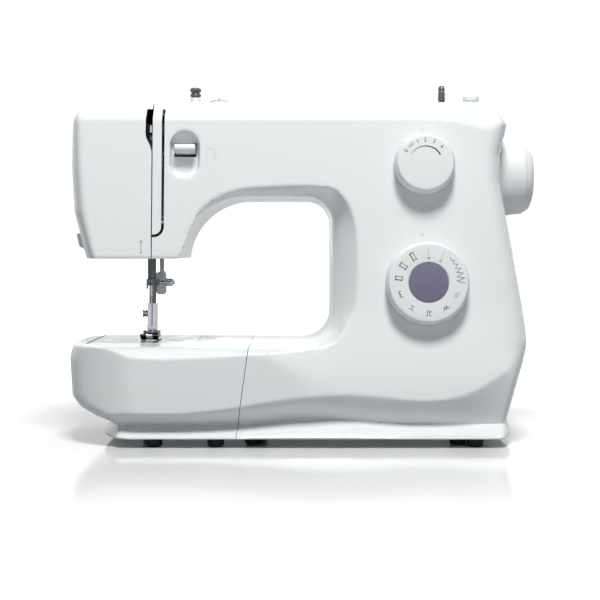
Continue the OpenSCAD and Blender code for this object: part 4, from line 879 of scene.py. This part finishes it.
class MACHINE_OT_casings(bpy.types.Operator):
    """Makes the machine's three moulded covers and the extension table"""
    bl_idname = "machine.casings"
    bl_label = "Casings"

    def execute(self, context):
        s = context.scene.machine_casing
        half = s.seam / MM / 2
        seam_co = np.array((X_TABLE_TOP, 0, BED_Z))
        seam_no = np.array(SEAM_NORMAL)
        # body right of the table, without the face cover
        for name, side, nodes in (("front_casing", 1, ("front_cover", "base_pan")),
                                  ("rear_casing", -1, ("rear_cover",))):
            bm = skin_bmesh(s)
            keep_side(bm, is_bed, seam_co + half * seam_no, -seam_no, True)
            keep_side(bm, is_head, (X_SEAM, 0, 0), (-1, 0, 0), False)
            keep_side(bm, lambda c: True, (0, Y_SPLIT - side * half, 0), (0, side, 0), False)
            thing = shell(name, bm)
            carve(thing, self.front_openings if side > 0 else self.rear_openings)
            smooth_by_angle(thing.data)
            finish_piece(thing, "machine", nodes)
        bm = skin_part(s, is_head)
        keep_side(bm, lambda c: True, (X_SEAM - 2 * half - 0.4, 0, 0), (1, 0, 0), False)
        thing = shell("face_casing", bm)
        carve(thing, self.face_openings)
        smooth_by_angle(thing.data)
        finish_piece(thing, "machine", ("face_cover",))
        self.table(s, seam_co - half * seam_no, seam_no)
        return {"FINISHED"}

    def table(self, s, co, no):
        bm = skin_part(s, is_bed)
        keep_side(bm, lambda c: True, co, no, True)
        mesh = bpy.data.meshes.new("table_shell")
        bm.to_mesh(mesh)
        bm.free()
        thing = new_object("table_shell", mesh, finishes()["cover_white"])
        arm_low, arm_high = node_box("free_arm_cover")
        arm_low, arm_high = arm_low - 1.6, arm_high + 1.6

        def pocket(bm):
            add_box(bm, arm_low, (60, arm_high[1], BED_Z + 20))

        def store(bm):
            # accessory space, hollowed so that the shuttle door can swing down inside it
            low, high = node_box("shuttle_door")
            back = arm_low[1] + 4
            add_prism(bm, [(back, low[2] - 1.4), (Y_FRONT + 10.5, low[2] - 1.4),
                           (Y_FRONT + 10.5, low[2] + 16),
                           (Y_FRONT + 14.5, low[2] + 26), (Y_FRONT + 21, low[2] + 35),
                           (Y_FRONT + 29, high[2] - 4),
                           (back, high[2] - 4)], "x", low[0] - 1.9, X_LEFT + 126)
        carve(thing, pocket)
        carve(thing, store)
        smooth_by_angle(thing.data)
        finish_piece(thing, "extension_table", ("extension_table",))

    @staticmethod
    def front_openings(bm):
        # slot of the upper thread, which curves back into the head's seam
        x0, x1, low = X_SEAM + 7.2, X_SEAM + 9.4, HEAD_Z + 25.5
        add_prism(bm, arc((x1 - 0.8, TOP_Z - 9), 0.8, 0, 90, 3) + arc((x0 + 0.8, TOP_Z - 9), 0.8, 90, 180, 3)
                  + [(x0, low)] + arc((X_SEAM + 1.0, low), x0 - X_SEAM - 1.0, 360, 270, 8)
                  + [(X_SEAM - 2, low - 6.2)]
                  + [(X_SEAM - 2, low - 8.4)] + arc((X_SEAM + 1.0, low), x1 - X_SEAM - 1.0, 270, 360, 8), "y",
                  Y_FRONT, Y_FRONT + 44)
        head_opening(bm, X_SEAM - 3, X_THROAT_L - 6)
        for (x, z), r in ((PATTERN, 6), (LENGTH, 5)):
            add_face_rod(bm, x, z, r, -14, 14)
        # reverse lever, tension dial, posts, winder, shaft, free arm
        low, high = node_box("reverse_lever")
        add_box(bm, (low[0] - 0.6, low[1] + 1, low[2] - 1.6), (high[0] + 0.6, high[1] + 4, high[2] + 1.2))
        low, high = node_box("tension_dial")
        add_box(bm, (low[0] + 0.3, low[1] - 0.8, TOP_Z - 9), (high[0] - 0.3, high[1] + 0.8, TOP_Z + 9))
        for x, r in ((X_STOPPER, 3.5), (X_GUIDE, 4.7)):
            add_prism(bm, disc(x, 0, r), "z", TOP_Z - 16, TOP_Z + 9)
        winder_and_shaft_openings(bm)
        add_box(bm, (X_TABLE_BASE - 14, -34.4, 23.6), (X_TABLE_TOP + 10, 72.4, BED_Z - 0.6))

    @staticmethod
    def rear_openings(bm):
        head_opening(bm, X_SEAM - 3, X_THROAT_L - 6)
        winder_and_shaft_openings(bm)
        add_box(bm, (X_TABLE_BASE - 24, -20, 24.1), (X_TABLE_TOP + 22, 70.7, BED_Z - 3.7))
        low, high = node_box("side_panel")
        add_box(bm, (X_RIGHT - 32, low[1] - 0.2, low[2] - 0.2), (X_RIGHT, high[1] + 0.2, high[2] + 0.2))
        # pockets of the carrying handle's brackets, then the holes of the cover's screws
        for x in (-74, 38):
            add_box(bm, (x - 2.6, Y_BACK - 9, TOP_Z - 30.1), (x + 2.6, Y_REAR, TOP_Z - 17.9))
        for x, z in ((X_SEAM + 16, Z_SHAFT + 12), (X_THROAT_R - 40, Z_SHAFT + 12),
                     (X_THROAT_R + 51, Z_SHAFT - 40),
                     (X_THROAT_R + 51, Z_SHAFT - 115)):
            add_prism(bm, disc(x, z, 3.8, 32), "y", Y_BACK - 12, Y_REAR)

    @staticmethod
    def face_openings(bm):
        edge = X_SEAM + 3
        add_prism(bm, [(edge, TOP_Z - 8)] + arc((X_SEAM - 4.5, TOP_Z - 9), 1.0, 90, 180, 4)
                  + [(X_SEAM - 5.9, TOP_Z - 28), (X_SEAM - 5.3, TOP_Z - 32), (X_SEAM - 2.2, TOP_Z - 38),
                     (X_SEAM - 1.4, TOP_Z - 42), (edge, TOP_Z - 42)], "y", Y_FRONT, Y_FRONT + 44)
        head_opening(bm, X_SEAM - 33, X_SEAM + 5)


# ---------------------------------------------------------------- small parts

def lathe(bm, profile, place, n=64):
    """Turned solid. The profile runs from the axis out and back to it as (radius, height); place gives a
    point its spot in mm."""
    rings = []
    for r, h in profile:
        if r < 1e-6:
            rings.append([bm.verts.new([MM * c for c in place(0, 0, h)])])
        else:
            rings.append([bm.verts.new([MM * c for c in place(u, v, h)]) for u, v in disc(0, 0, r, n)])
    made = []
    for a, b in zip(rings, rings[1:]):
        for i in range(n):
            j = (i + 1) % n
            quad = [a[i % len(a)], a[j % len(a)], b[j % len(b)], b[i % len(b)]]
            corners = list(dict.fromkeys(quad))
            if len(corners) > 2:
                made.append(bm.faces.new(corners))
    bmesh.ops.recalc_face_normals(bm, faces=made)


def rounded(points, r=0.6, n=4):
    """Profile with its inner corners rounded off."""
    out = [points[0]]
    for a, b, c in zip(points, points[1:], points[2:]):
        a, b, c = np.array(a, float), np.array(b, float), np.array(c, float)
        la, lc = np.linalg.norm(a - b), np.linalg.norm(c - b)
        k = min(r, la * 0.45, lc * 0.45)
        p, q = b + (a - b) / la * k, b + (c - b) / lc * k
        for i in range(n + 1):
            t = i / n
            out.append(tuple((1 - t) ** 2 * p + 2 * t * (1 - t) * b + t * t * q))
    return out + [points[-1]]


def turned(bm, points, place, n, r, steps):
    """Turned solid that closes on its axis at both ends of a rounded profile."""
    lathe(bm, [(0, points[0][1])] + rounded(points, r, steps) + [(0, points[-1][1])], place, n)


def along_x(x, y, z):
    """Placing function whose height runs along the length, from a point in mm."""
    return lambda u, v, w: (x + w, y + u, z + v)


def over_top(x, y):
    """Placing function whose height rises from the casing's top, over a point in mm."""
    return lambda u, v, w: (x + u, y + v, TOP_Z + w)


def piece_from(name, bm, slot, body, replaced=(), look=None, angle=32):
    mesh = bpy.data.meshes.new(name)
    bm.to_mesh(mesh)
    bm.free()
    thing = new_object(name, mesh, finishes()[look or slot])
    smooth_by_angle(mesh, angle)
    return finish_piece(thing, body, replaced)


def stroke(bm, points, width, place, w0, w1, closed=False):
    """Printed line: thin closed bars with round ends, from height w0 to w1 over the surface."""
    pts = list(points) + ([points[0]] if closed else [])
    for (ax, ay), (bx, by) in zip(pts, pts[1:]):
        length = math.hypot(bx - ax, by - ay)
        if length < 1e-6:
            continue
        heading = math.atan2(by - ay, bx - ax)
        h = width / 2
        loop = [(ax + h * math.cos(heading + t), ay + h * math.sin(heading + t)) for t in
                (math.pi / 2 + math.pi * i / 4 for i in range(5))]
        loop += [(bx + h * math.cos(heading + t), by + h * math.sin(heading + t)) for t in
                 (-math.pi / 2 + math.pi * i / 4 for i in range(5))]
        rings = [[bm.verts.new([MM * c for c in place(u, v, w)]) for u, v in loop] for w in (w0, w1)]
        made = [bm.faces.new(rings[0]), bm.faces.new(rings[1])]
        made += [bm.faces.new((rings[0][i - 1], rings[0][i], rings[1][i], rings[1][i - 1]))
                 for i in range(len(loop))]
        bmesh.ops.recalc_face_normals(bm, faces=made)


def lettering(bm, text, size, at, turn, place, w0, w1):
    """Generic figures as thin closed solids, placed and turned on a surface."""
    data = bpy.data.curves.new("figure", "FONT")
    data.body, data.size, data.align_x, data.align_y = text, size, "CENTER", "CENTER"
    data.resolution_u = 3
    data.extrude = 0.5
    thing = bpy.data.objects.new("figure", data)
    bpy.context.scene.collection.objects.link(thing)
    mesh = bpy.data.meshes.new_from_object(thing.evaluated_get(bpy.context.evaluated_depsgraph_get()))
    bpy.data.objects.remove(thing)
    c, s = math.cos(turn), math.sin(turn)
    for v in mesh.vertices:
        x, y, z = v.co
        v.co = [MM * k for k in place(at[0] + x * c - y * s, at[1] + x * s + y * c, w1 if z > 0 else w0)]
    start = len(bm.faces)
    bm.from_mesh(mesh)
    bm.faces.ensure_lookup_table()
    made = bm.faces[start:]
    bmesh.ops.remove_doubles(bm, verts=list({v for f in made for v in f.verts}), dist=1e-7)
    bmesh.ops.recalc_face_normals(bm, faces=[f for f in made if f.is_valid])
    bpy.data.meshes.remove(mesh)


def rib_tree():
    """Ring of straight ribs about the X axis: the knurl of a thumb screw or a dial."""
    if "Rib ring" in bpy.data.node_groups:
        return bpy.data.node_groups["Rib ring"]
    g = bpy.data.node_groups.new("Rib ring", "GeometryNodeTree")
    socket(g, "Geometry", "NodeSocketGeometry")
    for name, default in (("Radius", 0.003), ("Rib radius", 0.0003), ("Length", 0.008)):
        socket(g, name, "NodeSocketFloat", default=default)
    socket(g, "Count", "NodeSocketInt", default=24)
    socket(g, "Material", "NodeSocketMaterial")
    socket(g, "Geometry", "NodeSocketGeometry", into=False)
    n_in, n_out = g.nodes.new("NodeGroupInput"), g.nodes.new("NodeGroupOutput")
    ring = g.nodes.new("GeometryNodeMeshCircle")
    g.links.new(n_in.outputs["Count"], ring.inputs["Vertices"])
    g.links.new(n_in.outputs["Radius"], ring.inputs["Radius"])
    rib = g.nodes.new("GeometryNodeMeshCylinder")
    rib.inputs["Vertices"].default_value = 8
    g.links.new(n_in.outputs["Rib radius"], rib.inputs["Radius"])
    g.links.new(n_in.outputs["Length"], rib.inputs["Depth"])
    spread = g.nodes.new("GeometryNodeInstanceOnPoints")
    g.links.new(ring.outputs["Mesh"], spread.inputs["Points"])
    g.links.new(rib.outputs["Mesh"], spread.inputs["Instance"])
    turn = g.nodes.new("GeometryNodeTransform")
    turn.inputs["Rotation"].default_value = (0, math.pi / 2, 0)
    g.links.new(spread.outputs["Instances"], turn.inputs["Geometry"])
    real = g.nodes.new("GeometryNodeRealizeInstances")
    g.links.new(turn.outputs["Geometry"], real.inputs["Geometry"])
    paint = g.nodes.new("GeometryNodeSetMaterial")
    g.links.new(real.outputs["Geometry"], paint.inputs["Geometry"])
    g.links.new(n_in.outputs["Material"], paint.inputs["Material"])
    g.links.new(paint.outputs["Geometry"], n_out.inputs["Geometry"])
    return g


def rib_ring(name, body, slot, centre, axis, radius, rib, length, count):
    """Knurl ribs about an axis, placed round a centre in mm."""
    thing = new_object(name, bpy.data.meshes.new(name))
    m = thing.modifiers.new("ribs", "NODES")
    m.node_group = rib_tree()
    keys = {i.name: i.identifier for i in m.node_group.interface.items_tree
            if i.item_type == "SOCKET" and i.in_out == "INPUT"}
    m[keys["Radius"]], m[keys["Rib radius"]], m[keys["Length"]] = radius * MM, rib * MM, length * MM
    m[keys["Count"]] = count
    m[keys["Material"]] = finishes()[slot]
    apply_modifiers(thing)
    aim = Vector((1, 0, 0)).rotation_difference(Vector(axis)).to_matrix().to_4x4()
    thing.data.transform(Matrix.Translation(Vector(centre) * MM) @ aim)
    smooth_by_angle(thing.data, 50)
    return finish_piece(thing, body)


def spot(x, z, lift=0.0):
    """Placing function of the leaning face's frame round a point."""
    return lambda u, v, w: on_face(u, v, w + lift, x, z)


class MACHINE_OT_dials(bpy.types.Operator):
    """Makes the pattern dial and the stitch length dial with their printed marks"""
    bl_idname = "machine.dials"
    bl_label = "Dials"

    def execute(self, context):
        for name, centre, r, slope in (("pattern_knob", PATTERN, 33.0, 2.2),
                                       ("length_knob", LENGTH, 24.4, 2.6)):
            bm = bmesh.new()
            sink = 15.8 if name == "pattern_knob" else 0
            inner = [(0, DIAL_TALL - 0.8), (sink, DIAL_TALL - 0.8),
                     (sink + 0.5, DIAL_TALL - 0.1)] if sink else [(0, DIAL_TALL)]
            lathe(bm, [(0, 0.8)] + rounded([(1, 0.8), (r - 0.4, 0.8), (r, 1.6), (r - 0.5, DIAL_TALL - 4.2),
                  (r - slope, DIAL_TALL), (sink + 2, DIAL_TALL)], 1.3, 6) + inner[::-1], spot(*centre), 128)
            node = "pattern_dial" if sink else "length_dial"
            piece_from(name, bm, "dial_white", node, (node,), angle=40)
        bm = bmesh.new()
        turned(bm, [(0.5, DIAL_TALL - 0.8), (15.6, DIAL_TALL - 0.8), (15.6, DIAL_TALL + 0.05),
                    (0.5, DIAL_TALL + 0.2)], spot(*PATTERN), 96, 0.35, 3)
        piece_from("pattern_hub", bm, "hub_grey", "pattern_dial", ("dial_hub",))
        self.pattern_marks()
        self.length_marks()
        return {"FINISHED"}

    @staticmethod
    def pattern_marks():
        """Stitch pictures round the pattern dial, each drawn upright where the dial's pointer reads it."""
        r = 23.6
        bm, pale = bmesh.new(), bmesh.new()

        def put(angle, shape, width=0.5, target=None, radius=r):
            a = math.radians(angle)
            c, s = math.cos(a), math.sin(a)
            pts = [((radius + q) * s + p * c, (radius + q) * c - p * s) for p, q in shape]
            stroke(target or bm, pts, width, spot(*PATTERN), *DIAL_PRINT)
        for angle, lean in ((0, 0), (27, 0.8)):
            for k in range(5):
                put(angle, [(lean * k / 4, 3.6 - 1.5 * k), (lean * k / 4 + 0.01, 2.9 - 1.5 * k)], 0.4, pale)
            put(angle, arc((lean, -4.6), 0.75, 0, 360, 10), 0.35)
        zigzag = [(s * (0.5 + 0.26 * i), 0) for i, s in zip(range(13), [1, -1] * 7)]
        for i in range(12):
            a0, a1 = 41 + 4.2 * i, 41 + 4.2 * (i + 1)
            ends = []
            for a, (p, _) in ((a0, zigzag[i]), (a1, zigzag[i + 1])):
                a = math.radians(a)
                ends.append(((r + 1.8 + p) * math.sin(a), (r + 1.8 + p) * math.cos(a)))
            stroke(bm, ends, 0.38, spot(*PATTERN), *DIAL_PRINT)
        for k in range(3):
            put(113, [(-2.4 + 1.6 * k, 2.0), (-0.8 + 1.6 * k, 0.6), (-1.6 + 1.6 * k, 0.2),
                      (0 + 1.6 * k, -1.4)], 0.35, pale)
        put(146, [(-3, 1.4), (-1, 1.4), (-1, -1), (0.6, 1.4), (1.2, -1), (2.6, 1.4)], 0.5)
        put(181, [(-2.4, 2.4), (-0.6, 2.4), (-0.6, -1.4), (0.9, -1.4), (0.9, 2.4), (2.4, 2.4)], 0.42)
        put(181, [(-0.6, 0.4), (-2.2, -1.4)], 0.42)
        put(214, [(-2.2, 2.2), (-0.4, 1.2), (-0.4, -1.6), (1.4, -0.6)], 0.42)
        put(214, [(-0.4, 1.2), (1.8, 2.0)], 0.42)
        put(247, arc((-1.2, 0), 1.25, 200, 20, 8) + arc((1.2, 0), 1.25, 160, -20, 8), 0.65)
        for angle, long in ((278, 5.2), (303, 5.6), (329, 6.0)):
            put(angle, [(-1.3, -long / 2), (-1.3, long / 2)], 0.75)
            put(angle, [(1.3, -long / 2), (1.3, long / 2)], 0.42)
            for end in (-1, 1):
                put(angle, [(-1.9, end * long / 2), (1.9, end * long / 2)], 0.6)
        piece_from("pattern_marks", bm, "dial_white", "pattern_dial", look="ink")
        piece_from("pattern_marks_pale", pale, "dial_white", "pattern_dial", look="ink_pale")
        bm = bmesh.new()
        stroke(bm, [(-1.2, 1.0), (0, -0.9), (1.2, 1.0)], 0.4, spot(PATTERN[0] - 3.5, PATTERN[1] + 38.6),
               *POINTER_PRINT)
        stroke(bm, [(0, 0.3), (0.01, 0.3)], 1.0, spot(LENGTH[0] - 1.2, LENGTH[1] + 28.2), *POINTER_PRINT)
        piece_from("pointers", bm, "cover_white", "machine", look="ink_pale")

    @staticmethod
    def length_marks():
        """Figures of the stitch length dial, on an arc over its centre."""
        r = 17.8
        bm = bmesh.new()
        for angle, text in ((-59, "0"), (-1, "2"), (22, "3"), (45, "4"), (-20, "1")):
            a = math.radians(angle)
            lettering(bm, text, 4.6, (r * math.sin(a), r * math.cos(a)), -a, spot(*LENGTH), *DIAL_PRINT)
        a = math.radians(-40)
        c, s = math.cos(a), math.sin(a)
        for u in (-1.7, 0.0, 1.7):
            x, y = r * s + u * c, r * c - u * s
            stroke(bm, [(x, y - 1.2), (x, y + 1.2)], 0.45, spot(*LENGTH), *DIAL_PRINT)
        scale = [(13.0 * math.sin(math.radians(t)), 13.0 * math.cos(math.radians(t)))
                 for t in range(-60, 61, 6)]
        for k, (p, q) in enumerate(zip(scale, scale[1:])):
            stroke(bm, [p, q], 0.35 + 0.045 * k, spot(*LENGTH), *DIAL_PRINT)
        piece_from("length_marks", bm, "dial_white", "length_dial", look="ink")


class MACHINE_OT_hand_wheel(bpy.types.Operator):
    """Makes the hand wheel"""
    bl_idname = "machine.hand_wheel"
    bl_label = "Hand wheel"

    def execute(self, context):
        low, high = WHEEL_LOW, WHEEL_HIGH
        r, thick = (high[2] - low[2]) / 2, high[0] - WHEEL_BACK
        y, z = (high[1] + low[1]) / 2, (high[2] + low[2]) / 2
        bm = bmesh.new()
        turned(bm, [(4, 11), (11, 11), (11, 5), (r - 4, 4.5), (r - 2.6, 0.2), (r - 0.1, 0), (r, 2.5),
                    (r - 1.1, 13),
                    (r - 2.2, 24), (r - 3.2, 25.2), (r - 5.6, thick - 3.4), (r - 11, thick - 1.1),
                    (r - 19, thick - 0.3), (4, thick)], along_x(WHEEL_BACK, y, z), 144, 2.4, 6)
        piece_from("wheel", bm, "cover_white", "main_shaft", ("hand_wheel",), look="dial_white", angle=40)
        return {"FINISHED"}


class MACHINE_OT_top_fittings(bpy.types.Operator):
    """Makes the thread guide, the winder's stopper and spindle, and the tension dial with its marks"""
    bl_idname = "machine.top_fittings"
    bl_label = "Top fittings"

    def execute(self, context):
        bm = bmesh.new()
        turned(bm, [(4.4, -4), (4.4, 0.8), (4.0, 1.4), (4.2, 6.6), (2, 7.0)], over_top(X_GUIDE, 0), 48, 0.5,
               3)
        turned(bm, [(3.3, -4), (3.3, 3.2), (6.0, 3.4), (6.8, 4.4), (6.8, 7.4), (5.6, 8.4), (1, 8.4)],
               over_top(X_STOPPER, 0), 64, 0.7, 4)
        piece_from("top_posts", bm, "dial_white", "machine", ("winder_parts",))
        bm = bmesh.new()
        turned(bm, [(3.4, 7.05), (4.6, 7.8), (4.7, 9.6), (3.6, 10.4), (3.6, 11.2), (4.7, 11.8), (4.8, 14.2),
                    (3.6, 15),
                    (1.4, 15), (1.2, 13.6)], over_top(X_GUIDE, 0), 48, 0.4, 3)
        piece_from("guide_cap", bm, "black_plastic", "machine", look="dark_chrome")
        low, high = node_box("winder_spindle")
        cx, cy, base, tip = (low[0] + high[0]) / 2, Y_SPLIT, low[2] - TOP_Z, high[2] - TOP_Z
        bm = bmesh.new()
        turned(bm, [(2.9, base), (2.9, 0.6), (3.0, 1.2), (3.0, 3.4), (2.4, 3.8), (2.4, 4.6), (3.0, 5.0),
                    (3.0, 12.4),
                    (2.5, 12.8), (2.5, 13.6), (3.0, 14.0), (2.9, 15.6), (1.9, tip), (0.6, tip)],
               over_top(cx, cy), 40, 0.25, 3)
        turned(bm, [(10.9, -17.5), (11, -13), (3, -13)], over_top(cx, cy), 48, 0.4, 3)
        piece_from("winder_pin", bm, "polished_steel", "winder_spindle", ("winder_spindle",),
                   look="dark_chrome")
        self.tension()
        return {"FINISHED"}

    @staticmethod
    def tension():
        low, high = node_box("tension_dial")
        x, z, r, wide = (low[0] + high[0]) / 2, (low[2]
                                                 + high[2]) / 2, (high[2] - low[2]) / 2, high[1] - low[1]
        bm = bmesh.new()
        lathe(bm, [(3.06, 0.3)] + rounded([(3.06, 0), (r - 2.4, 0), (r - 0.9, 1.0), (r - 0.9, wide - 1.0),
                                           (r - 2.4, wide), (3.06, wide)], 0.6, 4)
              + [(3.06, wide - 0.3), (3.06, 0.3)], lambda u, v, w: (x + u, low[1] + w, z + v), 96)
        bmesh.ops.remove_doubles(bm, verts=bm.verts[:], dist=1e-7)
        piece_from("tension_wheel", bm, "dial_white", "tension_dial", ("tension_dial",))
        rib_ring("tension_ribs", "tension_dial", "dial_white", (x, (low[1] + high[1]) / 2, z), (0, 1, 0),
                 r - 0.9, 0.55, wide - 2.6, 72)
        bm = bmesh.new()
        face = lambda u, v, w: (x + u, low[1] - w, z + v)
        ring = [((r - 2.9) * math.sin(math.radians(t)), (r - 2.9) * math.cos(math.radians(t)))
                for t in range(-40, 41, 5)]
        stroke(bm, ring, 0.42, face, *RIM_PRINT)
        for side, tip in ((-1, ring[0]), (1, ring[-1])):
            for turn in (-0.5, 0.5):
                a = math.radians(90 + side * 50) + turn
                stroke(bm, [tip, (tip[0] - side * 1.7 * math.cos(turn * 1.4 + 0.5), tip[1]
                                  + 1.7 * math.sin(turn * 1.6 + 0.6))], 0.42, face, *RIM_PRINT)
        stroke(bm, [(0, r - 2.4), (0.01, r - 2.4)], 1.5, face, *RIM_PRINT)
        piece_from("tension_marks", bm, "dial_white", "tension_dial", look="ink_pale")


class MACHINE_OT_prints(bpy.types.Operator):
    """Prints the generic marks on the casing and the lines on the needle plate"""
    bl_idname = "machine.prints"
    bl_label = "Printed marks"

    def execute(self, context):
        bm = bmesh.new()
        # threading mark at the head's lower edge
        at = spot(X_SEAM - 8.6, HEAD_Z + 9)
        stroke(bm, arc((0, 4.6), 0.9, 0, 360, 12), 0.35, at, *PRINT)
        stroke(bm, [(0, 3.0), (0, -2.6)], 0.35, at, *PRINT)
        stroke(bm, [(0, -4.0), (0.01, -4.0)], 1.3, at, *PRINT)
        piece_from("threading_mark", bm, "cover_white", "machine", look="ink")
        bm = bmesh.new()
        at = spot(X_LEFT + 121, Z_REVERSE)
        turn = [(-3.4, -6.4), (-3.4, 1.2)] + arc((0, 1.4), 3.4, 180, 0, 10) + [(3.4, -4.6)]
        stroke(bm, turn, 0.5, at, *PRINT)
        stroke(bm, [(1.6, -3.0), (3.4, -5.2), (5.2, -3.0)], 0.5, at, *PRINT)
        piece_from("reverse_mark", bm, "cover_white", "machine", look="ink_faint")
        low, high = node_box("needle_plate")
        bm = bmesh.new()
        top = lambda u, v, w: (u, v, high[2] + w)
        cx = (low[0] + high[0]) / 2
        for k in range(5):
            for side in (-1, 1):
                x = cx + side * (13 + 4.6 * k)
                stroke(bm, [(x, low[1] + 8), (x, high[1] - 40)], 0.35, top, *PLATE_PRINT)
        piece_from("plate_lines", bm, "polished_steel", "machine", look="ink_pale")
        return {"FINISHED"}


class MACHINE_OT_head_fittings(bpy.types.Operator):
    """Makes the thumb screws of the needle clamp and of the foot holder"""
    bl_idname = "machine.head_fittings"
    bl_label = "Head fittings"

    def execute(self, context):
        low, high = node_box("clamp_screw")
        y, z, r = (low[1] + high[1]) / 2, (low[2] + high[2]) / 2, (high[2] - low[2]) / 2
        bm = bmesh.new()
        size = high[0] - low[0]
        turned(bm, [(1.55, 0), (1.55, 7.4), (2.2, 7.8), (r - 0.5, 9.0), (r - 0.3, 10.2),
                    (r - 0.3, size - 2.2),
                    (r - 0.9, size - 1.2), (1.8, size - 1.0), (1.4, size), (0.4, size)],
               along_x(low[0], y, z), 40, 0.3, 3)
        piece_from("clamp_thumb_screw", bm, "polished_steel", "clamp_screw", ("clamp_screw",))
        rib_ring("clamp_knurl", "clamp_screw", "polished_steel", (low[0] + size - 5.6, y, z), (1, 0, 0),
                 r - 0.34, 0.3, 6.0, 22)
        low, high = node_box("foot_screw")
        y, z, r, size = (low[1] + high[1]) / 2, (low[2]
                                                 + high[2]) / 2, (high[2] - low[2]) / 2, high[0] - low[0]
        bm = bmesh.new()
        turned(bm, [(r - 1.0, 0.5), (r - 0.9, 0), (r - 0.2, 0.2), (r, 0.9), (r - 0.1, 1.5), (r - 0.9, 1.9),
                    (r - 0.9, 2.5), (r - 0.1, 2.9), (r - 0.1, 3.9), (r - 0.9, 4.3), (1.48, 4.4),
                    (1.48, size)],
               along_x(low[0], y, z), 48, 0.25, 3)
        piece_from("foot_thumb_screw", bm, "polished_steel", "foot_screw", ("foot_screw",))
        return {"FINISHED"}


# ---------------------------------------------------------------- CAD nodes that keep their shape

# Nodes whose edges are softened on a copy, with the width of the rounding in mm
SOFTENED = {"reverse_lever": 0.9, "presser_foot": 0.25, "foot_holder": 0.3, "needle_clamp": 0.3,
            "presser_lifter": 0.5,
            "thread_cutter": 0.4, "take_up_lever": 0.3, "carry_handle": 0.5, "rear_fittings": 0.3,
            "side_panel": 0.4,
            "power_switch": 0.5, "spool_cap": 0.4, "rubber_feet": 0.6, "table_feet": 0.6,
            "free_arm_cover": 0.6,
            "shuttle_door": 0.4, "needle_plate": 0.15, "needle_bar": 0.2, "presser_bar": 0.2, "screws": 0.15}


# Nodes given a darker metal than the rest of their slot: on the needle and presser bars the darkness stands in
# for the dark surroundings they reflect, a painted dark reflection
LOOKS = {"needle_bar": "dark_chrome", "presser_bar": "dark_chrome"}


class MACHINE_OT_carried(bpy.types.Operator):
    """Gives every CAD node that keeps its shape its own finish, and some of them a copy with soft edges"""
    bl_idname = "machine.carried"
    bl_label = "Carried parts"

    def execute(self, context):
        slots = {p["node"]: p["material_slot"] for p in frame["record"]["subparts"]}
        looks = finishes()
        bodies = {n: b for b, names in frame["record"]["behaviour"]["bodies"].items() for n in names}
        for node, thing in frame["nodes"].items():
            if thing.hide_render:
                continue
            thing.data.materials.clear()
            look = looks[LOOKS.get(node, slots[node])]
            thing.data.materials.append(look)
            if node not in SOFTENED:
                continue
            mesh = thing.data.copy()
            bm = bmesh.new()
            bm.from_mesh(mesh)
            bmesh.ops.remove_doubles(bm, verts=bm.verts[:], dist=2e-6)
            bmesh.ops.dissolve_limit(bm, angle_limit=math.radians(1), verts=bm.verts[:], edges=bm.edges[:])
            bm.to_mesh(mesh)
            bm.free()
            copy = new_object(node + "_finished", mesh, look)
            m = copy.modifiers.new("soft edges", "BEVEL")
            m.width, m.segments, m.limit_method, m.angle_limit = SOFTENED[node] * MM, 2, "ANGLE", math.radians(38)
            m.use_clamp_overlap = True
            apply_modifiers(copy)
            smooth_by_angle(copy.data, 40)
            finish_piece(copy, bodies[node], (node,))
        return {"FINISHED"}


class MACHINE_PT_panel(bpy.types.Panel):
    bl_idname = "MACHINE_PT_panel"
    bl_label = "Sewing machine"
    bl_space_type = "VIEW_3D"
    bl_region_type = "UI"
    bl_category = "Sewing machine"

    def draw(self, context):
        for group in ("machine_casing", "machine_finish", "machine_stage"):
            box = self.layout.box()
            settings = getattr(context.scene, group)
            for key in settings.__annotations__:
                box.prop(settings, key)
        for op in OPERATORS:
            self.layout.operator(op.bl_idname)


OPERATORS = (MACHINE_OT_stage, MACHINE_OT_casings, MACHINE_OT_dials, MACHINE_OT_hand_wheel,
             MACHINE_OT_top_fittings,
             MACHINE_OT_head_fittings, MACHINE_OT_prints, MACHINE_OT_carried)
GROUPS = {"machine_casing": CasingSettings, "machine_finish": FinishSettings, "machine_stage": StageSettings}


def register():
    for cls in (*GROUPS.values(), *OPERATORS, MACHINE_PT_panel):
        bpy.utils.register_class(cls)
    for name, cls in GROUPS.items():
        setattr(bpy.types.Scene, name, PointerProperty(type=cls))


def unregister():
    for name in GROUPS:
        delattr(bpy.types.Scene, name)
    for cls in reversed((*GROUPS.values(), *OPERATORS, MACHINE_PT_panel)):
        bpy.utils.unregister_class(cls)


def main():
    register()
    for op in OPERATORS:
        name = op.bl_idname.split(".")[1]
        getattr(bpy.ops.machine, name)()


if __name__ == "__main__":
    main()
